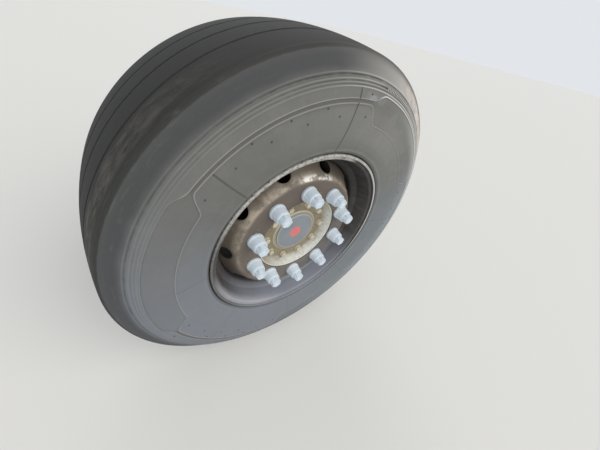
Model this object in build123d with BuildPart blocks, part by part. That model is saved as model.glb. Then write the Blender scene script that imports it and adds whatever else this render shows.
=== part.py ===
# Trailer wheel end: a wide single disc wheel and tyre on the hub, brake and axle end that carry it.
# Millimetres. The wheel's axis is Y, outboard is -Y, rearwards is +X and up is +Z.
# The origin is on the wheel's axis, in the middle of the axle tube's suspension seat.
from build123d import *
from math import cos, radians, sin, sqrt, tan
import os

os.makedirs("parts", exist_ok=True)

# Places along the axle are distances outboard of the wheel's mid-plane
seat_to_wheel = 370.0    # middle of the suspension seat to the wheel's mid-plane
wheel_outset = 120.0     # mid-plane to the hub face that the wheel disc bolts to
seat_gap = 0.3           # clearance of a curved or pressed seat within one body
running_gap = 0.05       # radial clearance of the hub on its journal
turning_gap = 5.0        # room that turning pieces leave round fixed ones

# Rim, a one-piece section with 15 degree bead seats and a drop well near the disc
rim_r = 298.45           # flange
rim_width = 298.5        # between the flanges
rim_wall = 6.5
flange_height = 12.7
flange_lip = 13.75       # curl of the flange beyond the bead
flange_curl_room = 1.5   # radius inside that curl
bead_seat_width = 45.0
bead_seat_angle = 15.0
well_depth = 30.0        # below the bead seat
well_out = 88.0          # outboard end of the well floor
well_in = 38.0           # inboard end of the well floor
well_slope = 22.0        # axial length of the slope inboard of the well
well_curl = 10.0
ledge_curl = 12.0
bead_r = rim_r - flange_height
ledge_r = bead_r - bead_seat_width * tan(radians(bead_seat_angle))
well_r = bead_r - well_depth
half_rim = rim_width / 2
flange_curl = rim_wall + flange_curl_room

# Wheel disc, pressed to a bell whose edge is welded inside the well
disc_wall = 11.0
disc_bore_r = 140.5
disc_flat_margin = 41.0  # flat face beyond the studs' circle, to the corner that its curl rounds
disc_curl = 22.0
disc_lip = 31.0          # straight lip that sits in the well
disc_lip_setback = 6.0   # from the inboard end of the well to the lip
hand_hole_r = 22.0
hand_hole_setback = 27.0 # middle of the hand holes, back up the band from its foot
stud_count = 10
stud_circle_r = 167.5
stud_r = 11.0
stud_angle = 126.54      # the first stud, from rearwards towards the top
disc_hole_r = 13.0
disc_face = wheel_outset + disc_wall
disc_edge_r = well_r - rim_wall - seat_gap
disc_lip_in = well_in + disc_lip_setback

# Tyre
tyre_r = 523.0
tread_half_width = 137.0
tread_drop = 9.0         # how much lower the tread is at its edge
tread_thickness = 27.0
groove_pitch = 65.0
groove_width = 7.2
groove_depth = 3.2       # what wear has left
tyre_half_width = 185.5
bulge_drop = 89.8        # widest ring of the sidewall, below the tread's edge
shoulder_drop = 24.0     # where the sidewall meets the shoulder, below the tread's edge
shoulder_spread = 22.5   # and beyond it
corner_drop = 1.5        # the shoulder's sharp corner, below the tread's edge
corner_inset = 12.0      # and inside the shoulder
shoulder_curl = 12.0
sidewall_thickness = 15.0
lining_drop = 12.0       # how much lower the lining is under the tread's edge
lining_inset = 20.0
bead_width = 37.0
bead_thickness = 24.0
bead_heel = 4.0          # cut off the heel, which clears the curl at the flange's foot
bead_line_rise = 8.15    # edge of the rubber above the flange
bead_line_spread = 1.5   # and beyond its lip
bead_clearance = 1.0     # of the rubber behind that edge, short of the lip's end

# Hub
hub_flange_margin = 22.5 # flange beyond the studs' circle
hub_flange_thickness = 20.0
spigot_rise = 6.5        # centring rim in front of the flange
spigot_rim_width = 3.2
dish_floor = 103.0       # face that the hub bolts pull on
dish_room = 1.0          # floor outside the bolts' washers
hub_barrel_r = 104.0
hub_neck_r = 128.0       # foot of the barrel behind the flange
hub_neck_length = 20.0
hub_fillet = 8.0
brake_flange_r = 124.0   # hub flange that carries the brake disc
brake_flange_thickness = 16.0
hub_tail_r = 100.0
hub_end = -60.0
journal_r = 47.0
cap_socket_r = 66.0
cap_socket_depth = 23.0

# Bolts on the hub's front
hub_bolt_count = 10
hub_bolt_circle_r = 104.5
hub_bolt_angle = 108.5
hub_bolt_hex = 18.0
hub_bolt_height = 8.0
hub_washer_r = 11.5
hub_washer_height = 2.2

# Hub cap
cap_flange_r = 81.0
cap_flange_height = 2.5
cap_r = 70.6
cap_height = 6.5
cap_wall = 3.0
cap_bevel = 1.6
cap_spigot_depth = 9.0

# Studs, nuts and their plastic caps
stud_head_r = 16.0
stud_head_height = 8.0
stud_length = 41.0       # in front of the disc
nut_hex = 33.0
nut_height = 22.0
nut_washer_r = 22.5
nut_washer_height = 5.0
nut_cap_length = 54.5
nut_cap_foot_r = 26.0
nut_cap_foot_height = 9.0
nut_cap_foot_step = 1.2
nut_cap_body_r = 23.8
nut_cap_neck_r = 20.2
nut_cap_tip_hex = 31.0
nut_cap_tip_length = 18.5
nut_cap_bore_r = 19.6
nut_cap_room = 1.0       # inside the cap, in front of the washer, nut and stud

# Tyre valve
valve_angle = 307.0
valve_r = 4.0
valve_bend_r = 12.0
valve_foot_r = 7.5
valve_foot_height = 6.0
valve_rise = 17.0        # square to the slope it stands on
valve_length = 19.0      # along the wheel's axis after its bend
valve_cap_r = 5.2
valve_cap_length = 12.0

# Brake, square to a line from the axle at this angle above rearwards, and sized to fill the rim
caliper_angle = 38.0
caliper_rim_gap = 9.2
bridge_thickness = 38.0  # of the caliper over the brake disc
pad_gap = 1.0
pad_thickness = 30.0
pad_plate = 9.0
pad_drop = 3.0           # below the brake disc's edge
pad_foot_drop = 30.0     # its lower corners, below the middle of its inner edge
lining_setback = 6.0     # lining from the ends of its plate
caliper_hub_gap = 6.0    # from the hub's barrel to the caliper
caliper_half_width = 88.0
caliper_corner = 14.0
caliper_bevel = 10.0
caliper_nose = 30.0      # thickness of the arm behind the outer pad
caliper_nose_drop = 26.0
caliper_window = 60.0    # half the width of the window over the pads
caliper_window_depth = 70.0
caliper_window_inset = 12.0
housing_length = 91.5    # behind the inner pad
caliper_outer_r = ledge_r - rim_wall - caliper_rim_gap
rotor_r = caliper_outer_r - bridge_thickness - turning_gap
pad_outer_r = rotor_r - pad_drop

# Pad retainer, a strap across the caliper's window
strap_width = 26.0
strap_thickness = 8.0
strap_drop = 7.0         # below the caliper's outside

# Adjuster cap on the caliper's back
adjuster_r = 15.0
adjuster_height = 8.0
adjuster_inset = 27.0    # from the caliper's inner and side faces

# Brake disc
rotor_inner_r = 120.0
rotor_thickness = 45.0
rotor_plate = 14.5
rotor_step = 3.0         # how much thinner its fixing flange is
rotor_middle = -45.0
vane_count = 36
vane_thickness = 7.0
vane_inset = 4.0
rotor_in = rotor_middle - rotor_thickness / 2
rotor_out = rotor_middle + rotor_thickness / 2
pad_back_in = rotor_in - pad_gap - pad_thickness
pad_back_out = rotor_out + pad_gap + pad_thickness
caliper_back = pad_back_in - housing_length
caliper_front = pad_back_out + caliper_nose

# Pole wheel for the speed sensor
pole_ring_r = 112.0
pole_ring_width = 11.0
pole_ring_setback = 3.0
pole_count = 90
pole_slot_width = 3.6
pole_slot_depth = 3.0

# Brake carrier
carrier_thickness = 25.0
carrier_pad_gap = 16.5   # from the inner pad's back
carrier_ring_r = 98.0
carrier_post_width = 28.0
carrier_post_above = 7.0   # the brake disc's edge
carrier_post_below = 65.0
carrier_gap = 4.0        # each side of the caliper's housing
abutment_gap = 16.0      # from the carrier's cut-out to the posts that the pads lie against
carrier_corner = 12.0
carrier_waist = 60.0     # from the axle to where its arms reach their full spread
carrier_back = pad_back_in - carrier_pad_gap - carrier_thickness
carrier_post_high = rotor_r + carrier_post_above
carrier_post_low = rotor_r - carrier_post_below

# Bolts through the carrier's ring and the spindle's flange
carrier_bolt_count = 8
carrier_bolt_circle_r = 82.5
carrier_bolt_r = 8.0
carrier_bolt_hex = 24.0
carrier_bolt_head = 10.0
carrier_nut_height = 13.0

# Guide pins that the caliper slides on, through its ears behind the carrier
guide_pin_r = 12.0
guide_pin_drop = 53.0    # below the brake disc's edge
guide_ear_r = 23.0
guide_ear_thickness = 34.0
guide_boot_r = 18.0
guide_boot_length = 8.0
guide_cap_r = 17.0
guide_cap_height = 9.0
guide_ear_back = carrier_back - guide_boot_length - guide_ear_thickness
guide_pin_distance = rotor_r - guide_pin_drop

# Axle
tube_r = 63.5
tube_wall = 13.0
tube_tail = 75.0         # from the middle of the suspension seat to the cut end
tube_bevel = 4.0
brake_flange_depth = 10.0  # spindle's flange that the carrier is bolted to
collar_r = 66.0          # collar that the carrier is centred on
shoulder_seat_r = 60.0
shoulder_length = 20.0
spindle_end_r = 33.0
spindle_end_length = 14.0
tube_end = -seat_to_wheel - tube_tail
tube_start = carrier_back - brake_flange_depth

# Brake chamber
chamber_drop = 73.0      # its axis, inside the caliper's outer surface
chamber_r = 80.0
chamber_depth = 62.0
chamber_curl = 18.0
chamber_lip = 3.0        # rolled edges that the band holds
chamber_band_wall = 6.0
chamber_band_width = 16.0
spring_chamber_r = 84.0
spring_chamber_depth = 158.0
spring_chamber_curl = 30.0
spring_neck = 14.0       # from the band to the full radius
chamber_boss_r = 46.0
chamber_boss_height = 12.0
port_r = 11.0
port_height = 12.0
port_turn = 115.0        # from the line that the brake stands square to
release_boss_r = 17.0
release_boss_height = 10.0
band_ear_height = 20.0
band_ear_width = 30.0
band_ear_gap = 8.0
band_bolt_r = 5.0
band_bolt_rise = 13.0    # above the cups
band_bolt_length = 46.0
chamber_distance = caliper_outer_r - chamber_drop

# Half section with the radius along X and the distance outboard along Y
section = Plane(origin=(0, -seat_to_wheel, 0), x_dir=(1, 0, 0), z_dir=(0, 0, -1))


def face(outboard, angle=0.0):
    """A plane square to the wheel's axis that faces outboard, turned by an angle from rearwards."""
    turned = (cos(radians(angle)), 0, sin(radians(angle)))
    return Plane(origin=(0, -seat_to_wheel - outboard, 0), x_dir=turned, z_dir=(0, -1, 0))


def save(piece, label):
    """Name a finished piece and write its file."""
    piece.part.label = label
    export_step(piece.part, f"parts/{label}.step")


# Rim: the tyre side of its section, thickened towards the axle
rim_line = [
    (rim_r, half_rim + flange_lip),
    (rim_r, half_rim),
    (bead_r, half_rim),
    (ledge_r, half_rim - bead_seat_width),
    (well_r, well_out),
    (well_r, well_in),
    (ledge_r, well_in - well_slope),
    (ledge_r, bead_seat_width - half_rim),
    (bead_r, -half_rim),
    (rim_r, -half_rim),
    (rim_r, -half_rim - flange_lip),
]
rim_curls = [
    flange_curl, bead_heel, ledge_curl, well_curl, well_curl, ledge_curl, ledge_curl, bead_heel, flange_curl
]
with BuildPart() as rim:
    with BuildSketch(section):
        with BuildLine():
            FilletPolyline(*rim_line, radius=rim_curls)
            offset(amount=rim_wall, side=Side.RIGHT)
        make_face()
    revolve(axis=Axis.Y)
save(rim, "rim")

# Wheel disc: the outboard side of its section, thickened inboard
band_top = Vector(stud_circle_r + disc_flat_margin, disc_face)
band_foot = Vector(disc_edge_r, disc_lip_in + disc_lip)
band_rise = (band_top - band_foot).normalized()
hand_hole_place = band_foot + band_rise * hand_hole_setback
with BuildPart() as hand_hole:
    with BuildSketch(
        Plane(
            origin=(hand_hole_place.X, 0, hand_hole_place.Y),
            x_dir=(0, 1, 0),
            z_dir=(band_rise.Y, 0, -band_rise.X),
        )
    ):
        Circle(hand_hole_r)
    extrude(amount=2 * disc_wall, both=True)
with BuildPart(face(0, stud_angle + 180 / stud_count)) as hand_holes:
    with PolarLocations(0, stud_count):
        add(hand_hole.part)
with BuildPart() as wheel_disc:
    with BuildSketch(section):
        with BuildLine():
            FilletPolyline(
                (disc_bore_r, disc_face),
                band_top,
                band_foot,
                (disc_edge_r, disc_lip_in),
                radius=disc_curl,
            )
            offset(amount=disc_wall, side=Side.RIGHT)
        make_face()
    revolve(axis=Axis.Y)
    with BuildSketch(face(disc_face, stud_angle)):
        with PolarLocations(stud_circle_r, stud_count):
            Circle(disc_hole_r)
    extrude(amount=-2 * disc_wall, mode=Mode.SUBTRACT)
    add(hand_holes.part, mode=Mode.SUBTRACT)
save(wheel_disc, "wheel_disc")

# Tyre: half of its section from the tread's middle round the bead and back along the lining
tread_edge_r = tyre_r - tread_drop
bulge_r = tread_edge_r - bulge_drop
bead_side = half_rim - seat_gap
bead_foot_r = bead_r + seat_gap
bead_toe_r = bead_foot_r - bead_width * tan(radians(bead_seat_angle))
flange_clear_r = rim_r + seat_gap
curl_depth = flange_curl - (flange_curl + seat_gap) * sqrt(0.5)
bead_line = (rim_r + bead_line_rise, half_rim + flange_lip + bead_line_spread)
bead_back = (rim_r + bead_line_rise, bead_side - bead_thickness / 2)
bulge = (bulge_r, tyre_half_width)
bulge_lining = (bulge_r, tyre_half_width - sidewall_thickness)
shoulder = (tread_edge_r - shoulder_drop, tread_half_width + shoulder_spread)
shoulder_corner = (tread_edge_r - corner_drop, shoulder[1] - corner_inset)
lining_r = tyre_r - tread_thickness
lining_edge = (lining_r - lining_drop, tread_half_width - lining_inset)


def tread_radius(outboard):
    """The tread's radius at a distance from the tyre's mid-plane."""
    return tyre_r - tread_drop * (outboard / tread_half_width) ** 2


with BuildPart() as tyre:
    with BuildSketch(section):
        with BuildLine():
            tread = ThreePointArc(
                (tread_radius(0), 0),
                (tread_radius(tread_half_width / 2), tread_half_width / 2),
                (tread_edge_r, tread_half_width),
            )
            FilletPolyline(tread @ 1, shoulder_corner, shoulder, radius=shoulder_curl)
            TangentArc(bulge, shoulder, tangent=(1, 0))
            TangentArc(bulge, bead_line, tangent=(-1, 0))
            Polyline(
                bead_line,
                (flange_clear_r, half_rim + flange_lip - bead_clearance),
                (flange_clear_r, half_rim + flange_curl),
            )
            ThreePointArc(
                (flange_clear_r, half_rim + flange_curl),
                (rim_r - curl_depth, half_rim + curl_depth),
                (rim_r - flange_curl, bead_side),
            )
            Polyline(
                (rim_r - flange_curl, bead_side),
                (bead_foot_r + bead_heel, bead_side),
                (bead_foot_r, bead_side - bead_heel),
                (bead_toe_r, bead_side - bead_width),
                bead_back,
            )
            TangentArc(bulge_lining, bead_back, tangent=(-1, 0))
            TangentArc(bulge_lining, lining_edge, tangent=(1, 0))
            Polyline(lining_edge, (lining_r, tread_half_width / 2), (lining_r, 0), (tyre_r, 0))
        make_face()
        mirror(about=Plane.XZ)
        with Locations(*[(tread_radius(place), place) for place in (-groove_pitch, 0, groove_pitch)]):
            Rectangle(2 * groove_depth, groove_width, mode=Mode.SUBTRACT)
    revolve(axis=Axis.Y)
save(tyre, "tyre")

# Hub: dished front, flange, barrel, and the flange that carries the brake disc
spigot_r = disc_bore_r - seat_gap
spigot_front = wheel_outset + spigot_rise
dish_floor_r = hub_bolt_circle_r + hub_washer_r + dish_room
hub_flange_r = stud_circle_r + hub_flange_margin
flange_back = wheel_outset - hub_flange_thickness
brake_face_out = rotor_out + brake_flange_thickness
hub_outline = [
    # radius, distance outboard, curl of the corner
    (cap_socket_r, dish_floor, 0),
    (dish_floor_r, dish_floor, 2 * dish_room),
    (spigot_r - spigot_rim_width, spigot_front, 0),
    (spigot_r, spigot_front, 0),
    (spigot_r, wheel_outset, 0),
    (hub_flange_r, wheel_outset, 0),
    (hub_flange_r, flange_back, 0),
    (hub_neck_r, flange_back, hub_fillet),
    (hub_barrel_r, flange_back - hub_neck_length, hub_fillet),
    (hub_barrel_r, brake_face_out, hub_fillet / 2),
    (brake_flange_r, brake_face_out, 0),
    (brake_flange_r, rotor_out, 0),
    (hub_tail_r, rotor_out, 0),
    (hub_tail_r, hub_end, 0),
    (journal_r + running_gap, hub_end, 0),
    (journal_r + running_gap, dish_floor - cap_socket_depth, 0),
    (cap_socket_r, dish_floor - cap_socket_depth, 0),
]
with BuildPart() as hub:
    with BuildSketch(section):
        with BuildLine():
            FilletPolyline(
                *[(radius, outboard) for radius, outboard, curl in hub_outline],
                radius=[curl for radius, outboard, curl in hub_outline],
                close=True,
            )
        make_face()
    revolve(axis=Axis.Y)
    with BuildSketch(face(wheel_outset, stud_angle)):
        with PolarLocations(stud_circle_r, stud_count):
            Circle(stud_r + seat_gap)
    extrude(amount=-hub_flange_thickness, mode=Mode.SUBTRACT)
save(hub, "hub")

# Hub cap, a pressed cap with a spigot in the hub's mouth
cap_top = dish_floor + cap_height
cap_spigot_r = cap_socket_r - seat_gap
with BuildPart() as hub_cap:
    with BuildSketch(section):
        with BuildLine():
            Polyline(
                (0, cap_top),
                (cap_r - cap_bevel, cap_top),
                (cap_r, cap_top - cap_bevel),
                (cap_r, dish_floor + cap_flange_height),
                (cap_flange_r - cap_bevel, dish_floor + cap_flange_height),
                (cap_flange_r, dish_floor),
                (cap_spigot_r, dish_floor),
                (cap_spigot_r, dish_floor - cap_spigot_depth),
                (cap_spigot_r - cap_wall, dish_floor - cap_spigot_depth),
                (cap_spigot_r - cap_wall, cap_top - cap_wall),
                (0, cap_top - cap_wall),
                close=True,
            )
        make_face()
    revolve(axis=Axis.Y)
save(hub_cap, "hub_cap")

# Bolts on the dish floor, hexagons on a washer face
with BuildPart() as hub_bolts:
    with BuildSketch(face(dish_floor, hub_bolt_angle)):
        with PolarLocations(hub_bolt_circle_r, hub_bolt_count):
            Circle(hub_washer_r)
    extrude(amount=hub_washer_height)
    with BuildSketch(face(dish_floor + hub_washer_height, hub_bolt_angle)):
        with PolarLocations(hub_bolt_circle_r, hub_bolt_count):
            RegularPolygon(hub_bolt_hex / 2, 6, major_radius=False)
    extrude(amount=hub_bolt_height)
save(hub_bolts, "hub_bolts")

# Wheel studs, pressed through the hub flange from behind
with BuildPart() as wheel_studs:
    with BuildSketch(face(flange_back - stud_head_height, stud_angle)):
        with PolarLocations(stud_circle_r, stud_count):
            Circle(stud_head_r)
    extrude(amount=stud_head_height)
    with BuildSketch(face(flange_back, stud_angle)):
        with PolarLocations(stud_circle_r, stud_count):
            Circle(stud_r)
    extrude(amount=hub_flange_thickness + disc_wall + stud_length)
save(wheel_studs, "wheel_studs")

# Wheel nuts with their captive washers
nut_top = nut_washer_height + nut_height
with BuildPart() as wheel_nuts:
    with BuildSketch(face(disc_face, stud_angle)):
        with PolarLocations(stud_circle_r, stud_count):
            Circle(nut_washer_r)
    extrude(amount=nut_washer_height)
    with BuildSketch(face(disc_face + nut_washer_height, stud_angle)):
        with PolarLocations(stud_circle_r, stud_count):
            RegularPolygon(nut_hex / 2, 6, major_radius=False)
    extrude(amount=nut_height)
    with BuildSketch(face(disc_face, stud_angle)):
        with PolarLocations(stud_circle_r, stud_count):
            Circle(stud_r + seat_gap)
    extrude(amount=nut_top, mode=Mode.SUBTRACT)
save(wheel_nuts, "wheel_nuts")

# Nut caps: a flared foot, a tapered body and a smaller hexagonal tip, hollow over the nut and stud
tip_start = nut_cap_length - nut_cap_tip_length
washer_bore_r = nut_washer_r + seat_gap
stud_bore_r = stud_r + seat_gap
with BuildPart() as nut_cap:
    with BuildSketch(Plane.XZ):
        with BuildLine():
            Polyline(
                (0, 0),
                (nut_cap_foot_r, 0),
                (nut_cap_foot_r - nut_cap_foot_step, nut_cap_foot_height),
                (nut_cap_body_r, nut_cap_foot_height + nut_cap_foot_step),
                (nut_cap_neck_r, tip_start),
                (0, tip_start),
                close=True,
            )
        make_face()
    revolve(axis=Axis.Z)
    with BuildSketch(Plane.XY.offset(tip_start)):
        RegularPolygon(nut_cap_tip_hex / 2, 6, major_radius=False)
    extrude(amount=nut_cap_tip_length)
    with BuildSketch(Plane.XZ):
        with BuildLine():
            Polyline(
                (0, 0),
                (washer_bore_r, 0),
                (washer_bore_r, nut_washer_height + nut_cap_room),
                (nut_cap_bore_r, nut_washer_height + nut_cap_room),
                (nut_cap_bore_r, nut_top + nut_cap_room),
                (stud_bore_r, nut_top + nut_cap_room),
                (stud_bore_r, stud_length + nut_cap_room),
                (0, stud_length + nut_cap_room),
                close=True,
            )
        make_face()
    revolve(axis=Axis.Z, mode=Mode.SUBTRACT)
with BuildPart(face(disc_face, stud_angle)) as nut_caps:
    with PolarLocations(stud_circle_r, stud_count):
        add(nut_cap.part)
save(nut_caps, "nut_caps")

# Tyre valve, standing on the slope between the bead seat and the well, then bent outboard
slope_width = half_rim - bead_seat_width - well_out
slope = Vector(ledge_r - well_r, slope_width).normalized()
rise = Vector(-slope.Y, slope.X)
valve_seat = Vector((ledge_r + well_r) / 2, well_out + slope_width / 2) + rise * (rim_wall + seat_gap)
valve_bend = valve_seat + rise * valve_rise
valve_end = valve_bend + Vector(0, valve_length)
valve_section = Plane(
    origin=(0, -seat_to_wheel, 0),
    x_dir=(cos(radians(valve_angle)), 0, sin(radians(valve_angle))),
    z_dir=(sin(radians(valve_angle)), 0, -cos(radians(valve_angle))),
)
with BuildPart() as valve:
    with BuildLine() as valve_line:
        FilletPolyline(
            *[valve_section.from_local_coords(point) for point in (valve_seat, valve_bend, valve_end)],
            radius=valve_bend_r,
        )
    valve_foot = Plane(origin=valve_line.line @ 0, z_dir=valve_line.line % 0)
    with BuildSketch(valve_foot):
        Circle(valve_r)
    sweep()
    with BuildSketch(valve_foot):
        Circle(valve_foot_r)
    extrude(amount=valve_foot_height)
    with BuildSketch(face(valve_end.Y - valve_cap_length, valve_angle)):
        with Locations((valve_end.X, 0)):
            Circle(valve_cap_r)
    extrude(amount=valve_cap_length)
save(valve, "valve")

# Brake disc: two plates joined by radial vanes, the outer one with its fixing flange
with BuildPart() as brake_disc:
    with BuildSketch(section):
        with BuildLine():
            Polyline(
                (hub_tail_r + seat_gap, rotor_out),
                (rotor_r, rotor_out),
                (rotor_r, rotor_out - rotor_plate),
                (rotor_inner_r, rotor_out - rotor_plate),
                (hub_tail_r + seat_gap, rotor_out - rotor_plate + rotor_step),
                close=True,
            )
        make_face()
        with BuildLine():
            Polyline(
                (rotor_inner_r, rotor_in),
                (rotor_r, rotor_in),
                (rotor_r, rotor_in + rotor_plate),
                (rotor_inner_r, rotor_in + rotor_plate),
                close=True,
            )
        make_face()
    revolve(axis=Axis.Y)
    with BuildSketch(face(rotor_in + rotor_plate)):
        with PolarLocations((rotor_r + rotor_inner_r) / 2, vane_count):
            Rectangle(rotor_r - rotor_inner_r - 2 * vane_inset, vane_thickness)
    extrude(amount=rotor_thickness - 2 * rotor_plate)
save(brake_disc, "brake_disc")

# Pole wheel on the hub's tail, slotted on the side that the sensor reads
pole_inner_r = hub_tail_r + seat_gap
pole_in = hub_end + pole_ring_setback
with BuildPart() as pole_ring:
    with BuildSketch(face(pole_in)):
        Circle(pole_ring_r)
        Circle(pole_inner_r, mode=Mode.SUBTRACT)
    extrude(amount=pole_ring_width)
    with BuildSketch(face(pole_in)):
        with PolarLocations(pole_ring_r, pole_count):
            Rectangle(pole_ring_r - pole_inner_r, pole_slot_width)
    extrude(amount=pole_slot_depth, mode=Mode.SUBTRACT)
save(pole_ring, "pole_ring")

# Axle tube, cut square and bevelled beyond its suspension seat
with BuildPart() as axle_tube:
    with BuildSketch(face(tube_end)):
        Circle(tube_r)
        Circle(tube_r - tube_wall, mode=Mode.SUBTRACT)
    extrude(amount=tube_start - tube_end)
    chamfer(axle_tube.edges().filter_by(GeomType.CIRCLE).group_by(Axis.Y)[-1].sort_by(SortBy.RADIUS)[-1], tube_bevel)
save(axle_tube, "axle_tube")

# Spindle: the flange welded to the tube's end, a collar, a shoulder behind the hub, the journal and the nut end
shoulder_front = hub_end - turning_gap
journal_end = dish_floor - cap_socket_depth
with BuildPart() as spindle:
    with BuildSketch(section):
        with BuildLine():
            Polyline(
                (0, tube_start),
                (carrier_ring_r, tube_start),
                (carrier_ring_r, carrier_back),
                (collar_r, carrier_back),
                (collar_r, carrier_back + carrier_thickness),
                (shoulder_seat_r, shoulder_front - shoulder_length),
                (shoulder_seat_r, shoulder_front),
                (journal_r, shoulder_front),
                (journal_r, journal_end),
                (spindle_end_r, journal_end),
                (spindle_end_r, journal_end + spindle_end_length),
                (0, journal_end + spindle_end_length),
                close=True,
            )
        make_face()
    revolve(axis=Axis.Y)
    with BuildSketch(face(tube_start, caliper_angle)):
        with PolarLocations(carrier_bolt_circle_r, carrier_bolt_count):
            Circle(carrier_bolt_r + seat_gap)
    extrude(amount=brake_flange_depth, mode=Mode.SUBTRACT)
save(spindle, "spindle")

# Brake carrier: a ring on the collar, and two posts over the brake disc that the pads lie between
caliper_inner = hub_barrel_r + caliper_hub_gap
post_inner = caliper_half_width + carrier_gap + abutment_gap
post_outer = post_inner + carrier_post_width
post_middle = (post_inner + post_outer) / 2
with BuildPart() as brake_carrier:
    with BuildSketch(face(carrier_back, caliper_angle)):
        Circle(carrier_ring_r)
        with BuildLine():
            FilletPolyline(
                (0, -carrier_ring_r),
                (carrier_waist, -post_outer),
                (carrier_post_high, -post_outer),
                (carrier_post_high, post_outer),
                (carrier_waist, post_outer),
                (0, carrier_ring_r),
                radius=carrier_corner,
                close=True,
            )
        make_face()
        with Locations((caliper_inner - carrier_gap + carrier_post_high / 2, 0)):
            RectangleRounded(carrier_post_high, 2 * (caliper_half_width + carrier_gap), carrier_corner, mode=Mode.SUBTRACT)
        Circle(collar_r + seat_gap, mode=Mode.SUBTRACT)
        with PolarLocations(carrier_bolt_circle_r, carrier_bolt_count):
            Circle(carrier_bolt_r + seat_gap, mode=Mode.SUBTRACT)
    extrude(amount=carrier_thickness)
    with BuildSketch(face(carrier_back, caliper_angle)):
        with Locations(
            ((carrier_post_low + carrier_post_high) / 2, post_middle),
            ((carrier_post_low + carrier_post_high) / 2, -post_middle),
        ):
            Rectangle(carrier_post_high - carrier_post_low, carrier_post_width)
    extrude(amount=pad_back_out - carrier_back)
    with BuildSketch(face(rotor_in - turning_gap)):
        Circle(rotor_r + turning_gap)
    extrude(amount=rotor_thickness + 2 * turning_gap, mode=Mode.SUBTRACT)
save(brake_carrier, "brake_carrier")

# Bolts that hold the carrier to the spindle's flange, with their nuts
carrier_front = carrier_back + carrier_thickness
with BuildPart() as carrier_bolts:
    for start, length in [(tube_start - carrier_bolt_head, carrier_bolt_head), (carrier_front, carrier_nut_height)]:
        with BuildSketch(face(start, caliper_angle)):
            with PolarLocations(carrier_bolt_circle_r, carrier_bolt_count):
                RegularPolygon(carrier_bolt_hex / 2, 6, major_radius=False)
        extrude(amount=length)
    with BuildSketch(face(tube_start, caliper_angle)):
        with PolarLocations(carrier_bolt_circle_r, carrier_bolt_count):
            Circle(carrier_bolt_r)
    extrude(amount=carrier_front - tube_start)
save(carrier_bolts, "carrier_bolts")

# Brake pads, lining on a steel plate, held between the carrier's posts
pad_inner_r = brake_flange_r + turning_gap
pad_half_length = post_inner - seat_gap
pad_foot = pad_inner_r - pad_foot_drop
for label, plate_face, toward_disc in [
    ("pad_inner", pad_back_in, 1),
    ("pad_outer", pad_back_out, -1),
]:
    with BuildPart() as pad:
        for start, depth, half_length in [
            (plate_face, pad_plate, pad_half_length),
            (plate_face + toward_disc * pad_plate, pad_thickness - pad_plate, pad_half_length - lining_setback),
        ]:
            with BuildSketch(face(start, caliper_angle)):
                Circle(pad_outer_r)
                Circle(pad_inner_r, mode=Mode.SUBTRACT)
                with Locations((pad_foot + pad_outer_r / 2, 0)):
                    Rectangle(pad_outer_r, 2 * half_length, mode=Mode.INTERSECT)
            extrude(amount=toward_disc * depth)
    save(pad, label)

# Caliper: housing behind the inner pad, bridge over the disc, and arm behind the outer pad
with BuildPart() as caliper:
    with BuildSketch(face(caliper_back, caliper_angle)):
        Circle(caliper_outer_r)
        with Locations((caliper_inner + caliper_outer_r / 2, 0)):
            Rectangle(caliper_outer_r, 2 * caliper_half_width, mode=Mode.INTERSECT)
    extrude(amount=caliper_front - caliper_back)
    fillet(caliper.edges().filter_by(Axis.Y), caliper_corner)
    chamfer(caliper.faces().sort_by(Axis.Y)[-1].edges(), caliper_bevel)
    with BuildSketch(section):
        with BuildLine():
            Polyline(
                (0, pad_back_in - seat_gap),
                (rotor_r + turning_gap, pad_back_in - seat_gap),
                (rotor_r + turning_gap, pad_back_out + seat_gap),
                (0, pad_back_out + seat_gap),
                close=True,
            )
        make_face()
        with BuildLine():
            Polyline(
                (caliper_outer_r, pad_back_out),
                (rim_r, pad_back_out),
                (rim_r, caliper_front),
                (caliper_outer_r - caliper_nose_drop, caliper_front),
                close=True,
            )
        make_face()
    revolve(axis=Axis.Y, mode=Mode.SUBTRACT)
    with BuildSketch(face(pad_back_in + caliper_window_inset, caliper_angle)):
        with Locations((caliper_outer_r, 0)):
            Rectangle(2 * caliper_window_depth, 2 * caliper_window)
    extrude(amount=pad_back_out - pad_back_in - 2 * caliper_window_inset, mode=Mode.SUBTRACT)
    with BuildSketch(face(caliper_back, caliper_angle)):
        with Locations((chamber_distance, 0)):
            Circle(chamber_boss_r)
    extrude(amount=-chamber_boss_height)
    with BuildSketch(face(caliper_back, caliper_angle)):
        with Locations((caliper_inner + adjuster_inset, caliper_half_width - adjuster_inset)):
            Circle(adjuster_r)
    extrude(amount=-adjuster_height)
    with BuildSketch(face(guide_ear_back, caliper_angle)):
        for side in (1, -1):
            with Locations((guide_pin_distance, side * post_middle / 2)):
                Rectangle(2 * guide_ear_r, post_middle)
            with Locations((guide_pin_distance, side * post_middle)):
                Circle(guide_ear_r)
                Circle(guide_pin_r + seat_gap, mode=Mode.SUBTRACT)
    extrude(amount=guide_ear_thickness)
save(caliper, "caliper")

# Pad retainer across the caliper's window
with BuildPart() as pad_retainer:
    with BuildSketch(face(pad_back_in + caliper_window_inset, caliper_angle)):
        with Locations((caliper_outer_r - strap_drop - strap_thickness / 2, 0)):
            Rectangle(strap_thickness, strap_width)
    extrude(amount=pad_back_out - pad_back_in - 2 * caliper_window_inset)
save(pad_retainer, "pad_retainer")

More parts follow.
